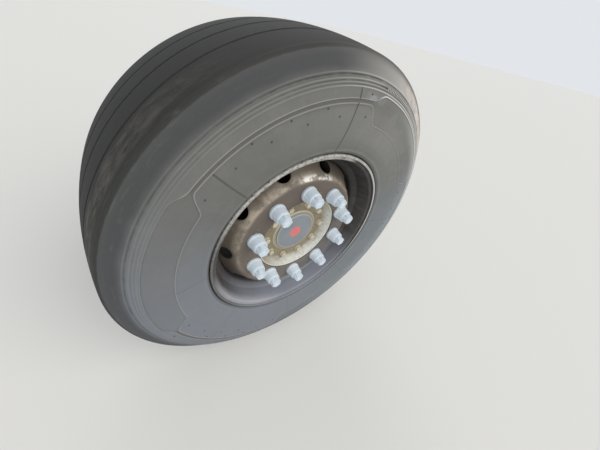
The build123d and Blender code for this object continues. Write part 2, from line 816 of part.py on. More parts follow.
# Guide pins on the carrier's back, each with its boot before the ear and its cap behind
with BuildPart() as guide_pins:
    for start, length, radius in [
        (guide_ear_back - guide_cap_height, guide_cap_height, guide_cap_r),
        (guide_ear_back, guide_ear_thickness, guide_pin_r),
        (guide_ear_back + guide_ear_thickness, guide_boot_length, guide_boot_r),
    ]:
        with BuildSketch(face(start, caliper_angle)):
            with Locations((guide_pin_distance, post_middle), (guide_pin_distance, -post_middle)):
                Circle(radius)
        extrude(amount=length)
save(guide_pins, "guide_pins")

# Brake chamber: service cup, clamp band and spring cup behind it, each with its air port
chamber_face = caliper_back - chamber_boss_height
band_middle = chamber_face - chamber_depth
spring_end = band_middle - spring_chamber_depth
band_half = chamber_band_width / 2
chamber_axis = Axis(
    (chamber_distance * cos(radians(caliper_angle)), 0, chamber_distance * sin(radians(caliper_angle))), (0, 1, 0)
)
port_way = (cos(radians(caliper_angle + port_turn)), 0, sin(radians(caliper_angle + port_turn)))


def at_chamber(outboard, way):
    """A plane with its origin on the chamber's axis that faces a given way."""
    place = (chamber_axis.position.X, -seat_to_wheel - outboard, chamber_axis.position.Z)
    return Plane(origin=place, x_dir=(0, 1, 0), z_dir=way)


chamber_section = Plane(
    origin=(chamber_axis.position.X, -seat_to_wheel, chamber_axis.position.Z), x_dir=(1, 0, 0), z_dir=(0, 0, -1)
)
with BuildPart() as service_chamber:
    with BuildSketch(chamber_section):
        with BuildLine():
            FilletPolyline(
                (0, chamber_face),
                (chamber_r - chamber_lip, chamber_face),
                (chamber_r - chamber_lip, band_middle + band_half),
                (chamber_r, band_middle + band_half),
                (chamber_r, band_middle),
                (0, band_middle),
                radius=[0, chamber_curl, 0, 0, 0, 0],
                close=True,
            )
        make_face()
    revolve(axis=chamber_axis)
    with BuildSketch(at_chamber((chamber_face + band_middle + band_half) / 2, port_way)):
        Circle(port_r)
    extrude(amount=chamber_r + port_height)
save(service_chamber, "service_chamber")

with BuildPart() as spring_chamber:
    with BuildSketch(chamber_section):
        with BuildLine():
            FilletPolyline(
                (0, band_middle),
                (chamber_r, band_middle),
                (chamber_r, band_middle - band_half),
                (spring_chamber_r, band_middle - band_half - spring_neck),
                (spring_chamber_r, spring_end),
                (0, spring_end),
                radius=[0, 0, 0, spring_neck, spring_chamber_curl, 0],
                close=True,
            )
        make_face()
    revolve(axis=chamber_axis)
    with BuildSketch(at_chamber(band_middle - band_half - spring_neck - 2 * port_r, port_way)):
        Circle(port_r)
    extrude(amount=spring_chamber_r + port_height)
    with BuildSketch(face(spring_end, caliper_angle)):
        with Locations((chamber_distance, 0)):
            Circle(release_boss_r)
    extrude(amount=-release_boss_height)
save(spring_chamber, "spring_chamber")

# Clamp band round both cups, drawn together by a bolt through its ears
with BuildPart() as chamber_band:
    with BuildSketch(face(band_middle - band_half, caliper_angle)):
        with Locations((chamber_distance, 0)):
            Circle(chamber_r + seat_gap + chamber_band_wall)
        with Locations((chamber_distance + chamber_r + band_ear_height / 2, 0)):
            Rectangle(band_ear_height, band_ear_width)
            Rectangle(band_ear_height, band_ear_gap, mode=Mode.SUBTRACT)
        with Locations((chamber_distance, 0)):
            Circle(chamber_r + seat_gap, mode=Mode.SUBTRACT)
    extrude(amount=chamber_band_width)
    bolt_distance = chamber_distance + chamber_r + band_bolt_rise
    bolt_place = (
        bolt_distance * cos(radians(caliper_angle)), -seat_to_wheel - band_middle, bolt_distance * sin(radians(caliper_angle))
    )
    with BuildSketch(Plane(origin=bolt_place, z_dir=(-sin(radians(caliper_angle)), 0, cos(radians(caliper_angle))))):
        Circle(band_bolt_r)
    extrude(amount=band_bolt_length / 2, both=True)
save(chamber_band, "chamber_band")
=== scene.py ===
# Trailer wheel end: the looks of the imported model, made round its frame
# Sizes are in millimetres: radii from the wheel's axis, and distances outboard of its mid-plane
import bpy
import bmesh
from math import cos, pi, radians, sin, sqrt, tan
from mathutils import Euler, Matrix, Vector


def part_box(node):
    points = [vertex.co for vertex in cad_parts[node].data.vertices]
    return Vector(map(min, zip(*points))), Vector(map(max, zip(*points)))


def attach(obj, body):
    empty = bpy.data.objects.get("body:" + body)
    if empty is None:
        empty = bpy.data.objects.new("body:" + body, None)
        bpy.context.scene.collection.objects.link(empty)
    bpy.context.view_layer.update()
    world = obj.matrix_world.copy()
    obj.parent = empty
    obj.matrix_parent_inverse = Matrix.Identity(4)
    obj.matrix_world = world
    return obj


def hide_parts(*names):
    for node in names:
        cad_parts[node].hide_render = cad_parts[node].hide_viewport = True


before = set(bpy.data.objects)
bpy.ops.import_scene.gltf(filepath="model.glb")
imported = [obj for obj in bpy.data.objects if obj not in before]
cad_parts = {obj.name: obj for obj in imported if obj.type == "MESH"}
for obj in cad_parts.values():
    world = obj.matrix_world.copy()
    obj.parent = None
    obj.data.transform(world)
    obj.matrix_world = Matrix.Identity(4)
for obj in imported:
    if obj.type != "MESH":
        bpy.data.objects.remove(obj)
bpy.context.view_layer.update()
scene = bpy.context.scene
mm = 0.001
wheelMid = (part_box("rim")[0][1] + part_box("rim")[1][1]) / 2 / mm      # along Y
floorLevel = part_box("tyre")[0][2]

# Camera, light and floor
view = {
    "place": (-0.3979, -0.9151, 0.5450),
    "turn": (48.28, -9.85, -34.72),      # degrees
    "lens": 14.6,
    "sensor": 36.0,
}
lamps = [
    # name, place, width in degrees, power, colour; each aims at the wheel
    ("skyLamp", (0.9, -2.6, 1.9), 55, 2.3, (1.0, 0.99, 0.97)),
    ("fillLamp", (-2.6, -2.4, 0.7), 32, 0.85, (0.86, 0.93, 1.0)),
    ("rearLamp", (1.5, 2.6, 1.9), 40, 0.45, (1.0, 1.0, 1.0)),
]
stage = {
    "floorWidth": 60.0,
    "floorColour": (226, 224, 220),
    "floorRough": 0.9,
    "skyColour": (226, 230, 234),
    "skyStrength": 0.5,
}


def tone(red, green, blue):
    # a colour as a picture editor shows it, made linear for the shader
    def linear(value):
        value /= 255
        return value / 12.92 if value <= 0.04045 else ((value + 0.055) / 1.055) ** 2.4
    return (linear(red), linear(green), linear(blue), 1.0)


def addNode(tree, kind, inputs=(), **settings):
    # a node with its settings, its inputs linked to sockets or set to values
    made = tree.nodes.new(kind)
    for key, value in settings.items():
        setattr(made, key, value)
    for key, value in dict(inputs).items():
        if isinstance(value, bpy.types.NodeSocket):
            tree.links.new(value, made.inputs[key])
        else:
            made.inputs[key].default_value = value
    return made


def maths(tree, operation, first, second=0.0, third=0.0):
    return addNode(tree, "ShaderNodeMath", {0: first, 1: second, 2: third}, operation=operation).outputs[0]


def setCamera():
    data = bpy.data.cameras.new("camera")
    data.sensor_width = view["sensor"]
    data.lens = view["lens"]
    data.clip_start = 0.01
    camera = bpy.data.objects.new("camera", data)
    camera.location = view["place"]
    camera.rotation_euler = Euler([radians(angle) for angle in view["turn"]])
    scene.collection.objects.link(camera)
    scene.camera = camera


def setLight():
    target = Vector((0, wheelMid * mm, 0))
    for name, place, width, power, colour in lamps:
        data = bpy.data.lights.new(name, "SUN")
        data.angle = radians(width)
        data.energy = power
        data.color = colour
        lamp = bpy.data.objects.new(name, data)
        lamp.location = place
        lamp.rotation_euler = (target - lamp.location).to_track_quat("-Z", "Y").to_euler()
        scene.collection.objects.link(lamp)
    sky = bpy.data.worlds.new("sky")
    sky.use_nodes = True
    scene.world = sky
    tree = sky.node_tree
    rays = addNode(tree, "ShaderNodeLightPath")
    seen = maths(tree, "ADD", rays.outputs["Is Camera Ray"], rays.outputs["Is Glossy Ray"])
    seen = maths(tree, "ADD", seen, rays.outputs["Is Transmission Ray"])
    seen = maths(tree, "MINIMUM", seen, 1.0)
    strength = maths(tree, "MULTIPLY_ADD", seen, 1.0 - stage["skyStrength"], stage["skyStrength"])
    background = tree.nodes["Background"]
    background.inputs["Color"].default_value = tone(*stage["skyColour"])
    tree.links.new(strength, background.inputs["Strength"])
    scene.view_settings.view_transform = "Standard"


def makeFloor():
    half = stage["floorWidth"] / 2
    mesh = bpy.data.meshes.new("floor")
    corners = [(-half, -half), (half, -half), (half, half), (-half, half)]
    mesh.from_pydata([(x, y, floorLevel) for x, y in corners], [], [(0, 1, 2, 3)])
    floor = bpy.data.objects.new("floor", mesh)
    scene.collection.objects.link(floor)
    finish = bpy.data.materials.new("floorFinish")
    finish.use_nodes = True
    shader = finish.node_tree.nodes["Principled BSDF"]
    shader.inputs["Base Color"].default_value = tone(*stage["floorColour"])
    shader.inputs["Roughness"].default_value = stage["floorRough"]
    mesh.materials.append(finish)


# Finishes
class Finish:
    # a material in the making; its methods return sockets of the nodes that they add
    def __init__(self, name, rough, metal=0.0, **sockets):
        self.material = bpy.data.materials.new(name)
        self.material.use_nodes = True
        self.tree = self.material.node_tree
        self.shader = self.tree.nodes["Principled BSDF"]
        self.shader.inputs["Roughness"].default_value = rough
        self.shader.inputs["Metallic"].default_value = metal
        for socket, value in sockets.items():
            self.shader.inputs[socket.replace("_", " ")].default_value = value
        self.place = addNode(self.tree, "ShaderNodeTexCoord").outputs["Object"]

    def maths(self, operation, first, second=0.0, third=0.0):
        return maths(self.tree, operation, first, second, third)

    def product(self, *parts):
        made = parts[0]
        for part in parts[1:]:
            made = self.maths("MULTIPLY", made, part)
        return made

    def ramp(self, value, low, high):
        # 0 at the low end and 1 at the high end, with a soft start and stop
        inputs = {"Value": value, "From Min": low, "From Max": high}
        return addNode(self.tree, "ShaderNodeMapRange", inputs, interpolation_type="SMOOTHSTEP").outputs[0]

    def noise(self, vector, scale, detail, rough):
        inputs = {"Vector": vector, "Scale": scale, "Detail": detail, "Roughness": rough}
        return addNode(self.tree, "ShaderNodeTexNoise", inputs).outputs[0]

    def cloud(self, scale, detail=4.0, rough=0.55):
        return self.noise(self.place, scale, detail, rough)

    def mix(self, share, under, over):
        under, over = [tone(*colour) if isinstance(colour, tuple) else colour for colour in (under, over)]
        return addNode(self.tree, "ShaderNodeMix", {0: share, 6: under, 7: over}, data_type="RGBA").outputs[2]

    def mottled(self, tones, *cloud):
        return self.mix(self.cloud(*cloud), *tones)

    def mask(self, where, *others):
        # the product of the masks that a dictionary names, from 0 to 1
        parts = list(others)
        if "cloud" in where:
            *cloud, low, high = where["cloud"]
            parts.append(self.ramp(self.cloud(*cloud), low, high))
        return self.product(*parts)

    def coated(self, colour, coats, *others):
        # the coats laid over the colour in turn, each where its own masks and the others say
        for coat in coats:
            share = self.product(self.mask(coat, *others), coat.get("share", 1.0))
            colour = self.mix(share, colour, coat["tone"])
        return colour

    def done(self, colour, height, depth, rough=None, metal=None):
        # links the colour and a bump of this depth in millimetres, and gives the material
        bump = addNode(self.tree, "ShaderNodeBump", {"Height": height, "Distance": depth * mm, "Strength": 1.0})
        found = {"Base Color": colour, "Normal": bump.outputs[0], "Roughness": rough, "Metallic": metal}
        for name, value in found.items():
            if value is not None:
                self.tree.links.new(value, self.shader.inputs[name])
        return self.material


class WheelFinish(Finish):
    # a finish that knows where a point is on the wheel: its radius, its distance outboard and its side
    def __init__(self, name, rough, metal=0.0, **sockets):
        super().__init__(name, rough, metal, **sockets)
        x, y, z = addNode(self.tree, "ShaderNodeSeparateXYZ", {0: self.place}).outputs
        square = self.maths("ADD", self.product(x, x), self.product(z, z))
        self.radius = self.maths("DIVIDE", self.maths("SQRT", square), mm)
        self.outboard = self.maths("SUBTRACT", wheelMid, self.maths("DIVIDE", y, mm))
        self.across = self.maths("DIVIDE", x, self.product(self.radius, mm))
        self.upward = self.maths("DIVIDE", z, self.product(self.radius, mm))

    def facing(self, angle, low, high):
        # 0 to 1 towards the side of the wheel that lies at this angle; low and high are cosines
        turned = self.product(self.across, cos(radians(angle)))
        return self.ramp(self.maths("MULTIPLY_ADD", self.upward, sin(radians(angle)), turned), low, high)

    def streaks(self, perRing, perRadius, detail=4.0, rough=0.55):
        # noise that runs on round the wheel without a seam, drawn out along its rings or along its radii;
        # a step outboard counts as 0.7 of a step outwards
        outward = self.maths("MULTIPLY_ADD", self.outboard, perRadius * 0.7, self.product(self.radius, perRadius))
        parts = {0: self.product(self.across, perRing), 1: self.product(self.upward, perRing), 2: outward}
        return self.noise(addNode(self.tree, "ShaderNodeCombineXYZ", parts).outputs[0], 1.0, detail, rough)

    def mask(self, where, *others):
        parts = list(others)
        if "mark" in where:
            parts.append(addNode(self.tree, "ShaderNodeAttribute", attribute_name=where["mark"]).outputs["Fac"])
        if "facing" in where:
            parts.append(self.facing(*where["facing"]))
        for key, value in [("radius", self.radius), ("outboard", self.outboard)]:
            if key in where:
                parts.append(self.ramp(value, *where[key]))
            if key + "Band" in where:
                low, high, soft = where[key + "Band"]
                parts += [self.ramp(value, low - soft, low + soft), self.ramp(value, high + soft, high - soft)]
        if "line" in where:
            line = where["line"]
            waves = self.streaks(*line["streaks"]) if "streaks" in line else self.cloud(*line["cloud"])
            parts.append(self.ramp(self.maths("MULTIPLY_ADD", waves, line["reach"], self.radius), *line["radius"]))
        if "streaks" in where:
            *streaks, low, high = where["streaks"]
            parts.append(self.ramp(self.streaks(*streaks), low, high))
        if "either" in where:
            first, second = [self.mask(choice) for choice in where["either"]]
            parts.append(self.maths("MAXIMUM", first, second))
        return super().mask(where, *parts)


# A coat has a tone, a share and masks, each a ramp from its low value to its high one:
# radius, outboard: low, high; a Band has both edges and their softness
# facing: angle, low, high; cloud: scale, detail, roughness, low, high; mark: a value painted on the mesh
# streaks: how many per ring, how many per mm of radius, detail, roughness, low, high
# line: a radius that streaks or a cloud move by up to the reach; either: the larger of two masks
treadLine = {"radius": (507.5, 510.5), "reach": 3.0, "streaks": (30, 0.4, 5, 0.7)}
rubberLook = {
    "tones": ((94, 94, 91), (117, 116, 111)), "cloud": (7, 6, 0.6),
    "coats": [
        {"tone": (134, 133, 129), "share": 0.35, "cloud": (19, 6, 0.7, 0.45, 0.72)},
        {"tone": (78, 77, 74), "share": 0.3, "cloud": (31, 6, 0.75, 0.58, 0.70)},
        {"tone": (130, 128, 123), "share": 0.18, "streaks": (1.5, 0.16, 5, 0.65, 0.40, 0.75)},
        {"tone": (134, 132, 127), "share": 0.25, "radiusBand": (320, 440, 20),
         "streaks": (26, 0.012, 4, 0.6, 0.55, 0.80)},
        # the sidewall's tone by side: paler towards the top, with painted shade and painted bluish sky light on the
        # other sides
        {"tone": (142, 140, 135), "share": 0.35, "facing": (80, 0.75, 0.98), "radiusBand": (335, 415, 20)},
        # painted shade on the upper left
        {"tone": (94, 94, 91), "share": 0.55, "facing": (130, 0.3, 0.95)},
        # painted bluish sky light on the lower left
        {"tone": (112, 117, 126), "share": 0.7, "facing": (222, -0.05, 0.95)},
        # painted bluish sky light on the lower right
        {"tone": (108, 115, 121), "share": 0.6, "facing": (-34, 0.2, 0.9)},
        # paler and bluer on the lower right between radii 370 and 455: painted sky light
        {"tone": (144, 153, 159), "share": 0.7, "facing": (-26, 0.45, 0.97), "radius": (370, 455)},
        # the shoulder and the tread, worn darker than the dusty sidewall
        {"tone": (56, 57, 57), "share": 0.85, "line": {"radius": (468, 492), "reach": 10.0, "streaks": (9, 0.05)}},
        {"tone": (37, 36, 34), "share": 0.92, "line": treadLine},
        # painted shade towards the bottom, near the ground, bluish
        {"tone": (88, 92, 98), "share": 0.4, "facing": (262, 0.45, 0.95), "radius": (410, 450)},
        # painted sunlight on the right side of the sidewall
        {"tone": (164, 167, 165), "share": 0.6, "facing": (14, 0.55, 0.95), "radiusBand": (432, 474, 16)},
        # pale dust and painted sunlight on the shoulder's rear, rubbed off at the tread's edge
        {"tone": (160, 158, 152), "share": 0.85, "facing": (32, 0.45, 0.88), "radiusBand": (468, 504, 9),
         "outboard": (100, 130)},
        # pinkish painted sunlight on the shoulder, with dust
        {"tone": (208, 194, 184), "share": 0.9, "facing": (30, 0.72, 0.97), "radiusBand": (475, 503, 6),
         "outboard": (100, 130), "cloud": (34, 7, 0.75, 0.34, 0.62)},
        {"tone": (82, 70, 64), "share": 0.7, "facing": (35, 0.70, 0.92), "radiusBand": (506, 511, 2.5),
         "outboard": (120, 140)},
        # dirt along the tread, a wiped spot beside the field, and scuffs round the shoulder
        {"tone": (104, 99, 91), "share": 0.6, "facing": (184, 0.2, 0.95), "outboardBand": (78, 127, 12),
         "line": treadLine, "streaks": (9, 0.09, 6, 0.75, 0.40, 0.66)},
        {"tone": (152, 153, 160), "share": 0.5, "facing": (79, 0.9955, 0.9996), "radiusBand": (431, 443, 4),
         "cloud": (40, 5, 0.7, 0.35, 0.60)},
        {"tone": (128, 127, 122), "share": 0.16, "facing": (190, -0.1, 0.8), "radiusBand": (482, 516, 6),
         "streaks": (10, 0.24, 6, 0.75, 0.53, 0.70)},
    ],
    # painted shade on the channel's floor, with less of it on the sunlit dusty side
    "floor": {"tone": (84, 80, 74), "mark": "floorOfBand"},
    "floorShares": (0.6, 0.25), "sunlitDustySide": (34, 0.75, 0.98),
    # the painted highlights and shade of the ribs near the shoulder are strong on their lit side and faint on the
    # others
    "litRibSide": (56, 0.0, 0.9), "shadedSideCrisp": 0.28,
    "fieldCrisp": {"radius": (441, 437)}, "shoulderCrisp": {"radius": (467, 469)}, "shoulderCrispShare": 0.6,
    "lines": [
        # raised lines paler: wear and a painted highlight
        {"tone": (152, 150, 144), "share": 0.5, "mark": "worn"},
        # painted highlight on the raised line on the lit upper right
        {"tone": (212, 206, 200), "share": 0.85, "mark": "worn", "facing": (44, 0.55, 0.92), "radius": (438, 446)},
        # painted shade in the grooves and by the rim, in streaks further out, and the dark mould seams
        {"tone": (50, 49, 48), "share": 0.85, "mark": "dark",
         "either": [{"streaks": (14, 0.9, 5, 0.7, 0.30, 0.58)}, {"radius": (451, 447)}]},
    ],
    # painted shadow below the knurled strip, on its lit side
    "shadowUnderKnurl": {"tone": (48, 46, 45), "share": 0.85, "facing": (50, 0.86, 0.93), "radiusBand": (459.6, 466.0, 0.8)},
    "grain": (700, 3, 0.6), "scratches": (3, 1.1, 4, 0.7), "scratchShare": 0.7, "depth": 0.3,
}


def rubberFinish():
    look = rubberLook
    finish = WheelFinish("weatheredRubber", 0.8, Specular_IOR_Level=0.3)
    colour = finish.coated(finish.mottled(look["tones"], *look["cloud"]), look["coats"])
    share, dustyShare = look["floorShares"]
    share = finish.maths("MULTIPLY_ADD", finish.facing(*look["sunlitDustySide"]), dustyShare - share, share)
    colour = finish.coated(colour, [look["floor"]], share)
    least = look["shadedSideCrisp"]
    crisp = finish.maths("MULTIPLY_ADD", finish.facing(*look["litRibSide"]), 1.0 - least, least)
    shoulderCrisp = finish.product(finish.mask(look["shoulderCrisp"]), look["shoulderCrispShare"])
    crisp = finish.maths("MAXIMUM", crisp, finish.maths("MAXIMUM", finish.mask(look["fieldCrisp"]), shoulderCrisp))
    colour = finish.coated(colour, look["lines"], crisp)
    colour = finish.coated(colour, [look["shadowUnderKnurl"]])
    scratches = finish.product(finish.streaks(*look["scratches"]), look["scratchShare"])
    return finish.done(colour, finish.maths("ADD", scratches, finish.cloud(*look["grain"])), look["depth"])


rimLook = {
    # painted shade and light: darker tones on the shaded side, paler bluer ones on the sky-lit lower side
    "cloud": (9, 5, 0.6), "skyLitSide": (270, 0.25, 0.92),
    "shadedTones": ((54, 51, 49), (70, 67, 65)), "skyLitTones": ((110, 112, 120), (126, 129, 138)),
    "coats": [
        # painted shadow of the lip on the upper right
        {"tone": (32, 30, 28), "share": 0.7, "facing": (62, 0.5, 0.95)},
        {"tone": (124, 121, 118), "share": 0.2, "streaks": (18, 0.02, 4, 0.6, 0.4, 0.8)},
        {"tone": (56, 52, 50), "share": 0.6, "outboard": (118, 84)},
        # painted bluish sky light on the lower left, near the flange
        {"tone": (158, 158, 164), "share": 0.7, "facing": (222, 0.72, 0.98), "outboard": (128, 154)},
    ],
    # the bare lip, how far it reaches in on some sides, and its wear
    "lip": ((150, 147, 140), (186, 184, 178)), "lipStreaks": (12, 0.05, 5, 0.6),
    "lipDepth": (159.0, 160.5), "lipRadius": {"radius": (297.2, 298.2)},
    "lipReach": [(6.5, (112, 0.35, 0.95)), (-1.6, (-12, 0.3, 0.9))],
    "lipWear": {"tone": (104, 99, 93), "share": 0.45, "facing": (132, -0.3, 0.6), "cloud": (75, 5, 0.7, 0.44, 0.60)},
    "flakes": {"tone": (70, 64, 58), "share": 0.8, "facing": (132, -0.2, 0.7), "cloud": (150, 6, 0.75, 0.54, 0.61)},
    # painted shade on the lip's lower left, and a greyer lip at the bottom
    "lipSides": [
        {"tone": (70, 68, 66), "share": 0.85, "facing": (205, 0.3, 0.85)},
        {"tone": (122, 123, 127), "share": 0.85, "facing": (280, 0.3, 0.8)},
    ],
    "rust": {"tone": (96, 70, 52), "share": 0.25, "cloud": (30, 6, 0.7, 0.62, 0.76)},
    # brake dust and painted shade inside the rim behind the disc, which is rougher too
    "inside": {"tone": (16, 15, 14), "outboard": (60, 44)},
    "rough": 0.5, "insideRougher": 0.45, "grain": 260, "flakeDepth": -0.5, "depth": 0.25,
}


def rimFinish():
    look = rimLook
    finish = WheelFinish("chippedRimPaint", look["rough"], Specular_IOR_Level=0.4)
    shadedTones, skyLitTones = [finish.mottled(look[key], *look["cloud"]) for key in ("shadedTones", "skyLitTones")]
    colour = finish.coated(finish.mix(finish.facing(*look["skyLitSide"]), shadedTones, skyLitTones), look["coats"])
    depth = finish.outboard
    for reach, side in look["lipReach"]:
        depth = finish.maths("MULTIPLY_ADD", finish.facing(*side), reach, depth)
    bare = finish.maths("MAXIMUM", finish.ramp(depth, *look["lipDepth"]), finish.mask(look["lipRadius"]))
    lip = finish.mix(finish.streaks(*look["lipStreaks"]), *look["lip"])
    lip = finish.coated(lip, [look["lipWear"], look["flakes"], *look["lipSides"]])
    colour = finish.coated(finish.mix(bare, colour, lip), [look["rust"], look["inside"]])
    rough = finish.maths("MULTIPLY_ADD", finish.mask(look["inside"]), look["insideRougher"], look["rough"])
    flakes = finish.product(finish.mask(look["flakes"]), look["flakeDepth"])
    return finish.done(colour, finish.maths("ADD", finish.cloud(look["grain"]), flakes), look["depth"], rough)


def handHole():
    # middle of a hand hole on the disc's section, the way up its band, and the way out of the hole
    top, foot = Vector(disc["corners"][1][:2]), Vector(disc["corners"][2][:2])
    rise = (top - foot).normalized()
    return foot + rise * disc["holeSetback"], rise, Vector((rise.y, -rise.x))


def holeDistance(finish):
    # millimetres from the axis of the nearest hand hole
    pitch = 2 * pi / disc["holes"]
    angle = finish.maths("ARCTAN2", finish.upward, finish.across)
    angle = finish.maths("SUBTRACT", angle, radians(disc["firstHole"]) - pitch / 2)
    angle = finish.maths("SUBTRACT", finish.maths("FLOORED_MODULO", angle, pitch), pitch / 2)
    middle, rise = handHole()[:2]
    inward = finish.maths("SUBTRACT", finish.product(finish.maths("COSINE", angle), finish.radius), middle.x)
    outward = finish.maths("SUBTRACT", finish.outboard, middle.y)
    along = finish.maths("MULTIPLY_ADD", outward, rise.y, finish.product(inward, rise.x))
    aside = finish.product(finish.maths("SINE", angle), finish.radius)
    return finish.maths("SQRT", finish.maths("MULTIPLY_ADD", along, along, finish.product(aside, aside)))


flatLine = {"radius": (212, 206), "reach": 5.0, "cloud": (30, 5)}
discLook = {
    "tones": ((86, 79, 71), (122, 112, 99)), "cloud": (11, 6, 0.65),
    "coats": [
        {"tone": (72, 62, 53), "share": 0.35, "cloud": (38, 7, 0.75, 0.46, 0.66)},
        # the crest and the side paler, partly worn and partly a painted highlight, a bare patch on the crest, and a
        # run of grease
        {"tone": (174, 161, 142), "share": 0.8, "facing": (108, -0.3, 0.5), "radiusBand": (205, 222, 7),
         "cloud": (26, 7, 0.7, 0.34, 0.66)},
        {"tone": (146, 133, 115), "share": 0.4, "facing": (126, -0.4, 0.8), "radius": (226, 244)},
        {"tone": (236, 232, 224), "facing": (83, 0.950, 0.985), "radiusBand": (207, 217, 4),
         "cloud": (45, 5, 0.7, 0.40, 0.50)},
        {"tone": (78, 60, 47), "share": 0.65, "facing": (126, 0.985, 0.999), "radius": (196, 222),
         "streaks": (18, 0.02, 5, 0.65, 0.44, 0.62)},
        # the flat under the nuts, with painted shade on all but its lower right, chips there, and a greyer lower right
        {"tone": (84, 75, 69), "share": 0.65, "facing": (78, -0.75, 0.1), "line": flatLine},
        {"tone": (190, 178, 158), "share": 0.7, "facing": (78, -0.75, 0.1), "line": flatLine,
         "cloud": (130, 4, 0.6, 0.67, 0.71)},
        {"tone": (96, 96, 94), "share": 0.6, "facing": (-60, 0.1, 0.9), "radius": (210, 190)},
        {"tone": (74, 54, 40), "share": 0.5, "cloud": (60, 5, 0.7, 0.62, 0.70)},
        # painted shade on the band, on the upper right and the lower left
        {"tone": (66, 59, 53), "share": 0.6, "radius": (202, 226),
         "either": [{"facing": (48, 0.78, 0.95)}, {"facing": (214, 0.50, 0.92)}]},
    ],
    # grime round the hand holes, and painted shade on their walls: each fades in between two distances past the hole's
    # radius
    "holes": [
        {"tone": (70, 60, 50), "share": 0.3, "past": (8.0, 1.0)},
        {"tone": (18, 16, 14), "past": (0.3, 0.1)},
    ],
    "behind": {"tone": (46, 42, 39), "outboard": (42, 41)},
    "grain": (180, 5, 0.65), "depth": 0.45,
}


def discFinish():
    look = discLook
    finish = WheelFinish("dirtyDiscPaintWithPaintedLight", 0.6, Specular_IOR_Level=0.4)
    colour = finish.coated(finish.mottled(look["tones"], *look["cloud"]), look["coats"])
    apart = finish.maths("SUBTRACT", holeDistance(finish), disc["holeRadius"])
    for coat in look["holes"]:
        colour = finish.coated(colour, [coat], finish.ramp(apart, *coat["past"]))
    colour = finish.coated(colour, [look["behind"]])
    return finish.done(colour, finish.cloud(*look["grain"]), look["depth"])


hubLook = {
    "tones": ((106, 97, 78), (146, 137, 115)), "cloud": (26, 6, 0.65),
    "cone": {"line": {"radius": (118, 146), "reach": 24.0, "cloud": (34, 6, 0.7)}}, "coneShare": 0.9,
    # the cone paler on its lower right, where it faces up: painted sky light
    "coneTones": ((134, 125, 105), (203, 203, 196)), "paleSide": (-48, -0.6, 0.75),
    "coats": [
        {"tone": (96, 82, 60), "share": 0.45, "cloud": (105, 6, 0.8, 0.47, 0.66)},
        # a pale band round the spigot's rim: painted highlight
        {"tone": (214, 208, 194), "share": 0.9, "radiusBand": (136.8, 141, 0.5)},
        {"tone": (48, 43, 39), "either": [{"outboard": (101, 96)}, {"radius": (141, 143)}]},
    ],
    "grain": (240, 5, 0.7), "depth": 0.6,
}


def hubFinish():
    look = hubLook
    finish = WheelFinish("dustyHubPaint", 0.7, Specular_IOR_Level=0.35)
    colour = finish.mottled(look["tones"], *look["cloud"])
    cone = finish.product(finish.mask(look["cone"]), look["coneShare"])
    colour = finish.mix(cone, colour, finish.mix(finish.facing(*look["paleSide"]), *look["coneTones"]))
    colour = finish.coated(colour, look["coats"])
    return finish.done(colour, finish.cloud(*look["grain"]), look["depth"])


plainLooks = {
    "hubCapPaint": {
        "rough": 0.5, "tones": ((104, 110, 115), (130, 136, 140)), "cloud": (24, 5, 0.6),
        "coats": [
            # paler at the face's rolled edge: painted highlight
            {"tone": (150, 150, 145), "radiusBand": (66.8, 70.6, 0.8)},
            {"tone": (138, 130, 110), "radius": (70.9, 72)},
            # paler at the outer edge: painted highlight
            {"tone": (172, 166, 148), "radius": (77.5, 79)},
            # the worn spot of paint in the middle
            {"tone": (198, 104, 100), "line": {"radius": (25.5, 24.0), "reach": 8.0, "cloud": (160, 4, 0.7)}},
            {"tone": (168, 160, 146), "share": 0.4, "cloud": (210, 4, 0.7, 0.58, 0.66)},
        ],
        "grain": 220, "depth": 0.3,
    },
    "paleNutCapPlastic": {
        "rough": 0.4, "tones": ((196, 207, 216), (216, 225, 232)), "cloud": (60, 5, 0.6),
        "sockets": {"Subsurface_Weight": 0.12, "Subsurface_Scale": 0.005},
        "coats": [
            {"tone": (176, 177, 174), "share": 0.3, "outboard": (140, 131)},
            # grey lines at the step and round the end
            {"tone": (152, 164, 174), "share": 0.45,
             "either": [{"outboardBand": (166, 168.5, 1.0)}, {"outboard": (182.6, 183.4)}]},
            {"tone": (158, 150, 138), "share": 0.5, "cloud": (130, 5, 0.7, 0.62, 0.76)},
        ],
        "grain": 190, "depth": 0.25,
    },
    "dustyBolts": {
        "rough": 0.6, "metal": 0.2, "tones": ((160, 148, 122), (208, 200, 180)), "cloud": (90, 5, 0.6),
        "coats": [], "grain": 400, "depth": 0.3,
    },
}


def plainFinish(name):
    look = plainLooks[name]
    finish = WheelFinish(name, look["rough"], look.get("metal", 0.0), **look.get("sockets", {}))
    colour = finish.coated(finish.mottled(look["tones"], *look["cloud"]), look["coats"])
    return finish.done(colour, finish.cloud(look["grain"]), look["depth"])


ironLook = {
    "cloud": (16, 6, 0.65), "rustCloud": (34, 6, 0.7, 0.46, 0.66),
    "cast": 90, "castShare": 0.6, "grain": 420, "depth": 0.6,
}


def ironFinish(name, dark, pale, rust, rough=0.75, metal=0.0, rusty=0.5):
    # cast iron, and in other tones paint, plating, rubber and brass
    look = ironLook
    finish = Finish(name, rough, metal)
    colour = finish.mottled((dark, pale), *look["cloud"])
    colour = finish.coated(colour, [{"tone": rust, "share": rusty, "cloud": look["rustCloud"]}])
    cast = finish.product(finish.cloud(look["cast"]), look["castShare"])
    return finish.done(colour, finish.maths("ADD", cast, finish.cloud(look["grain"])), look["depth"])


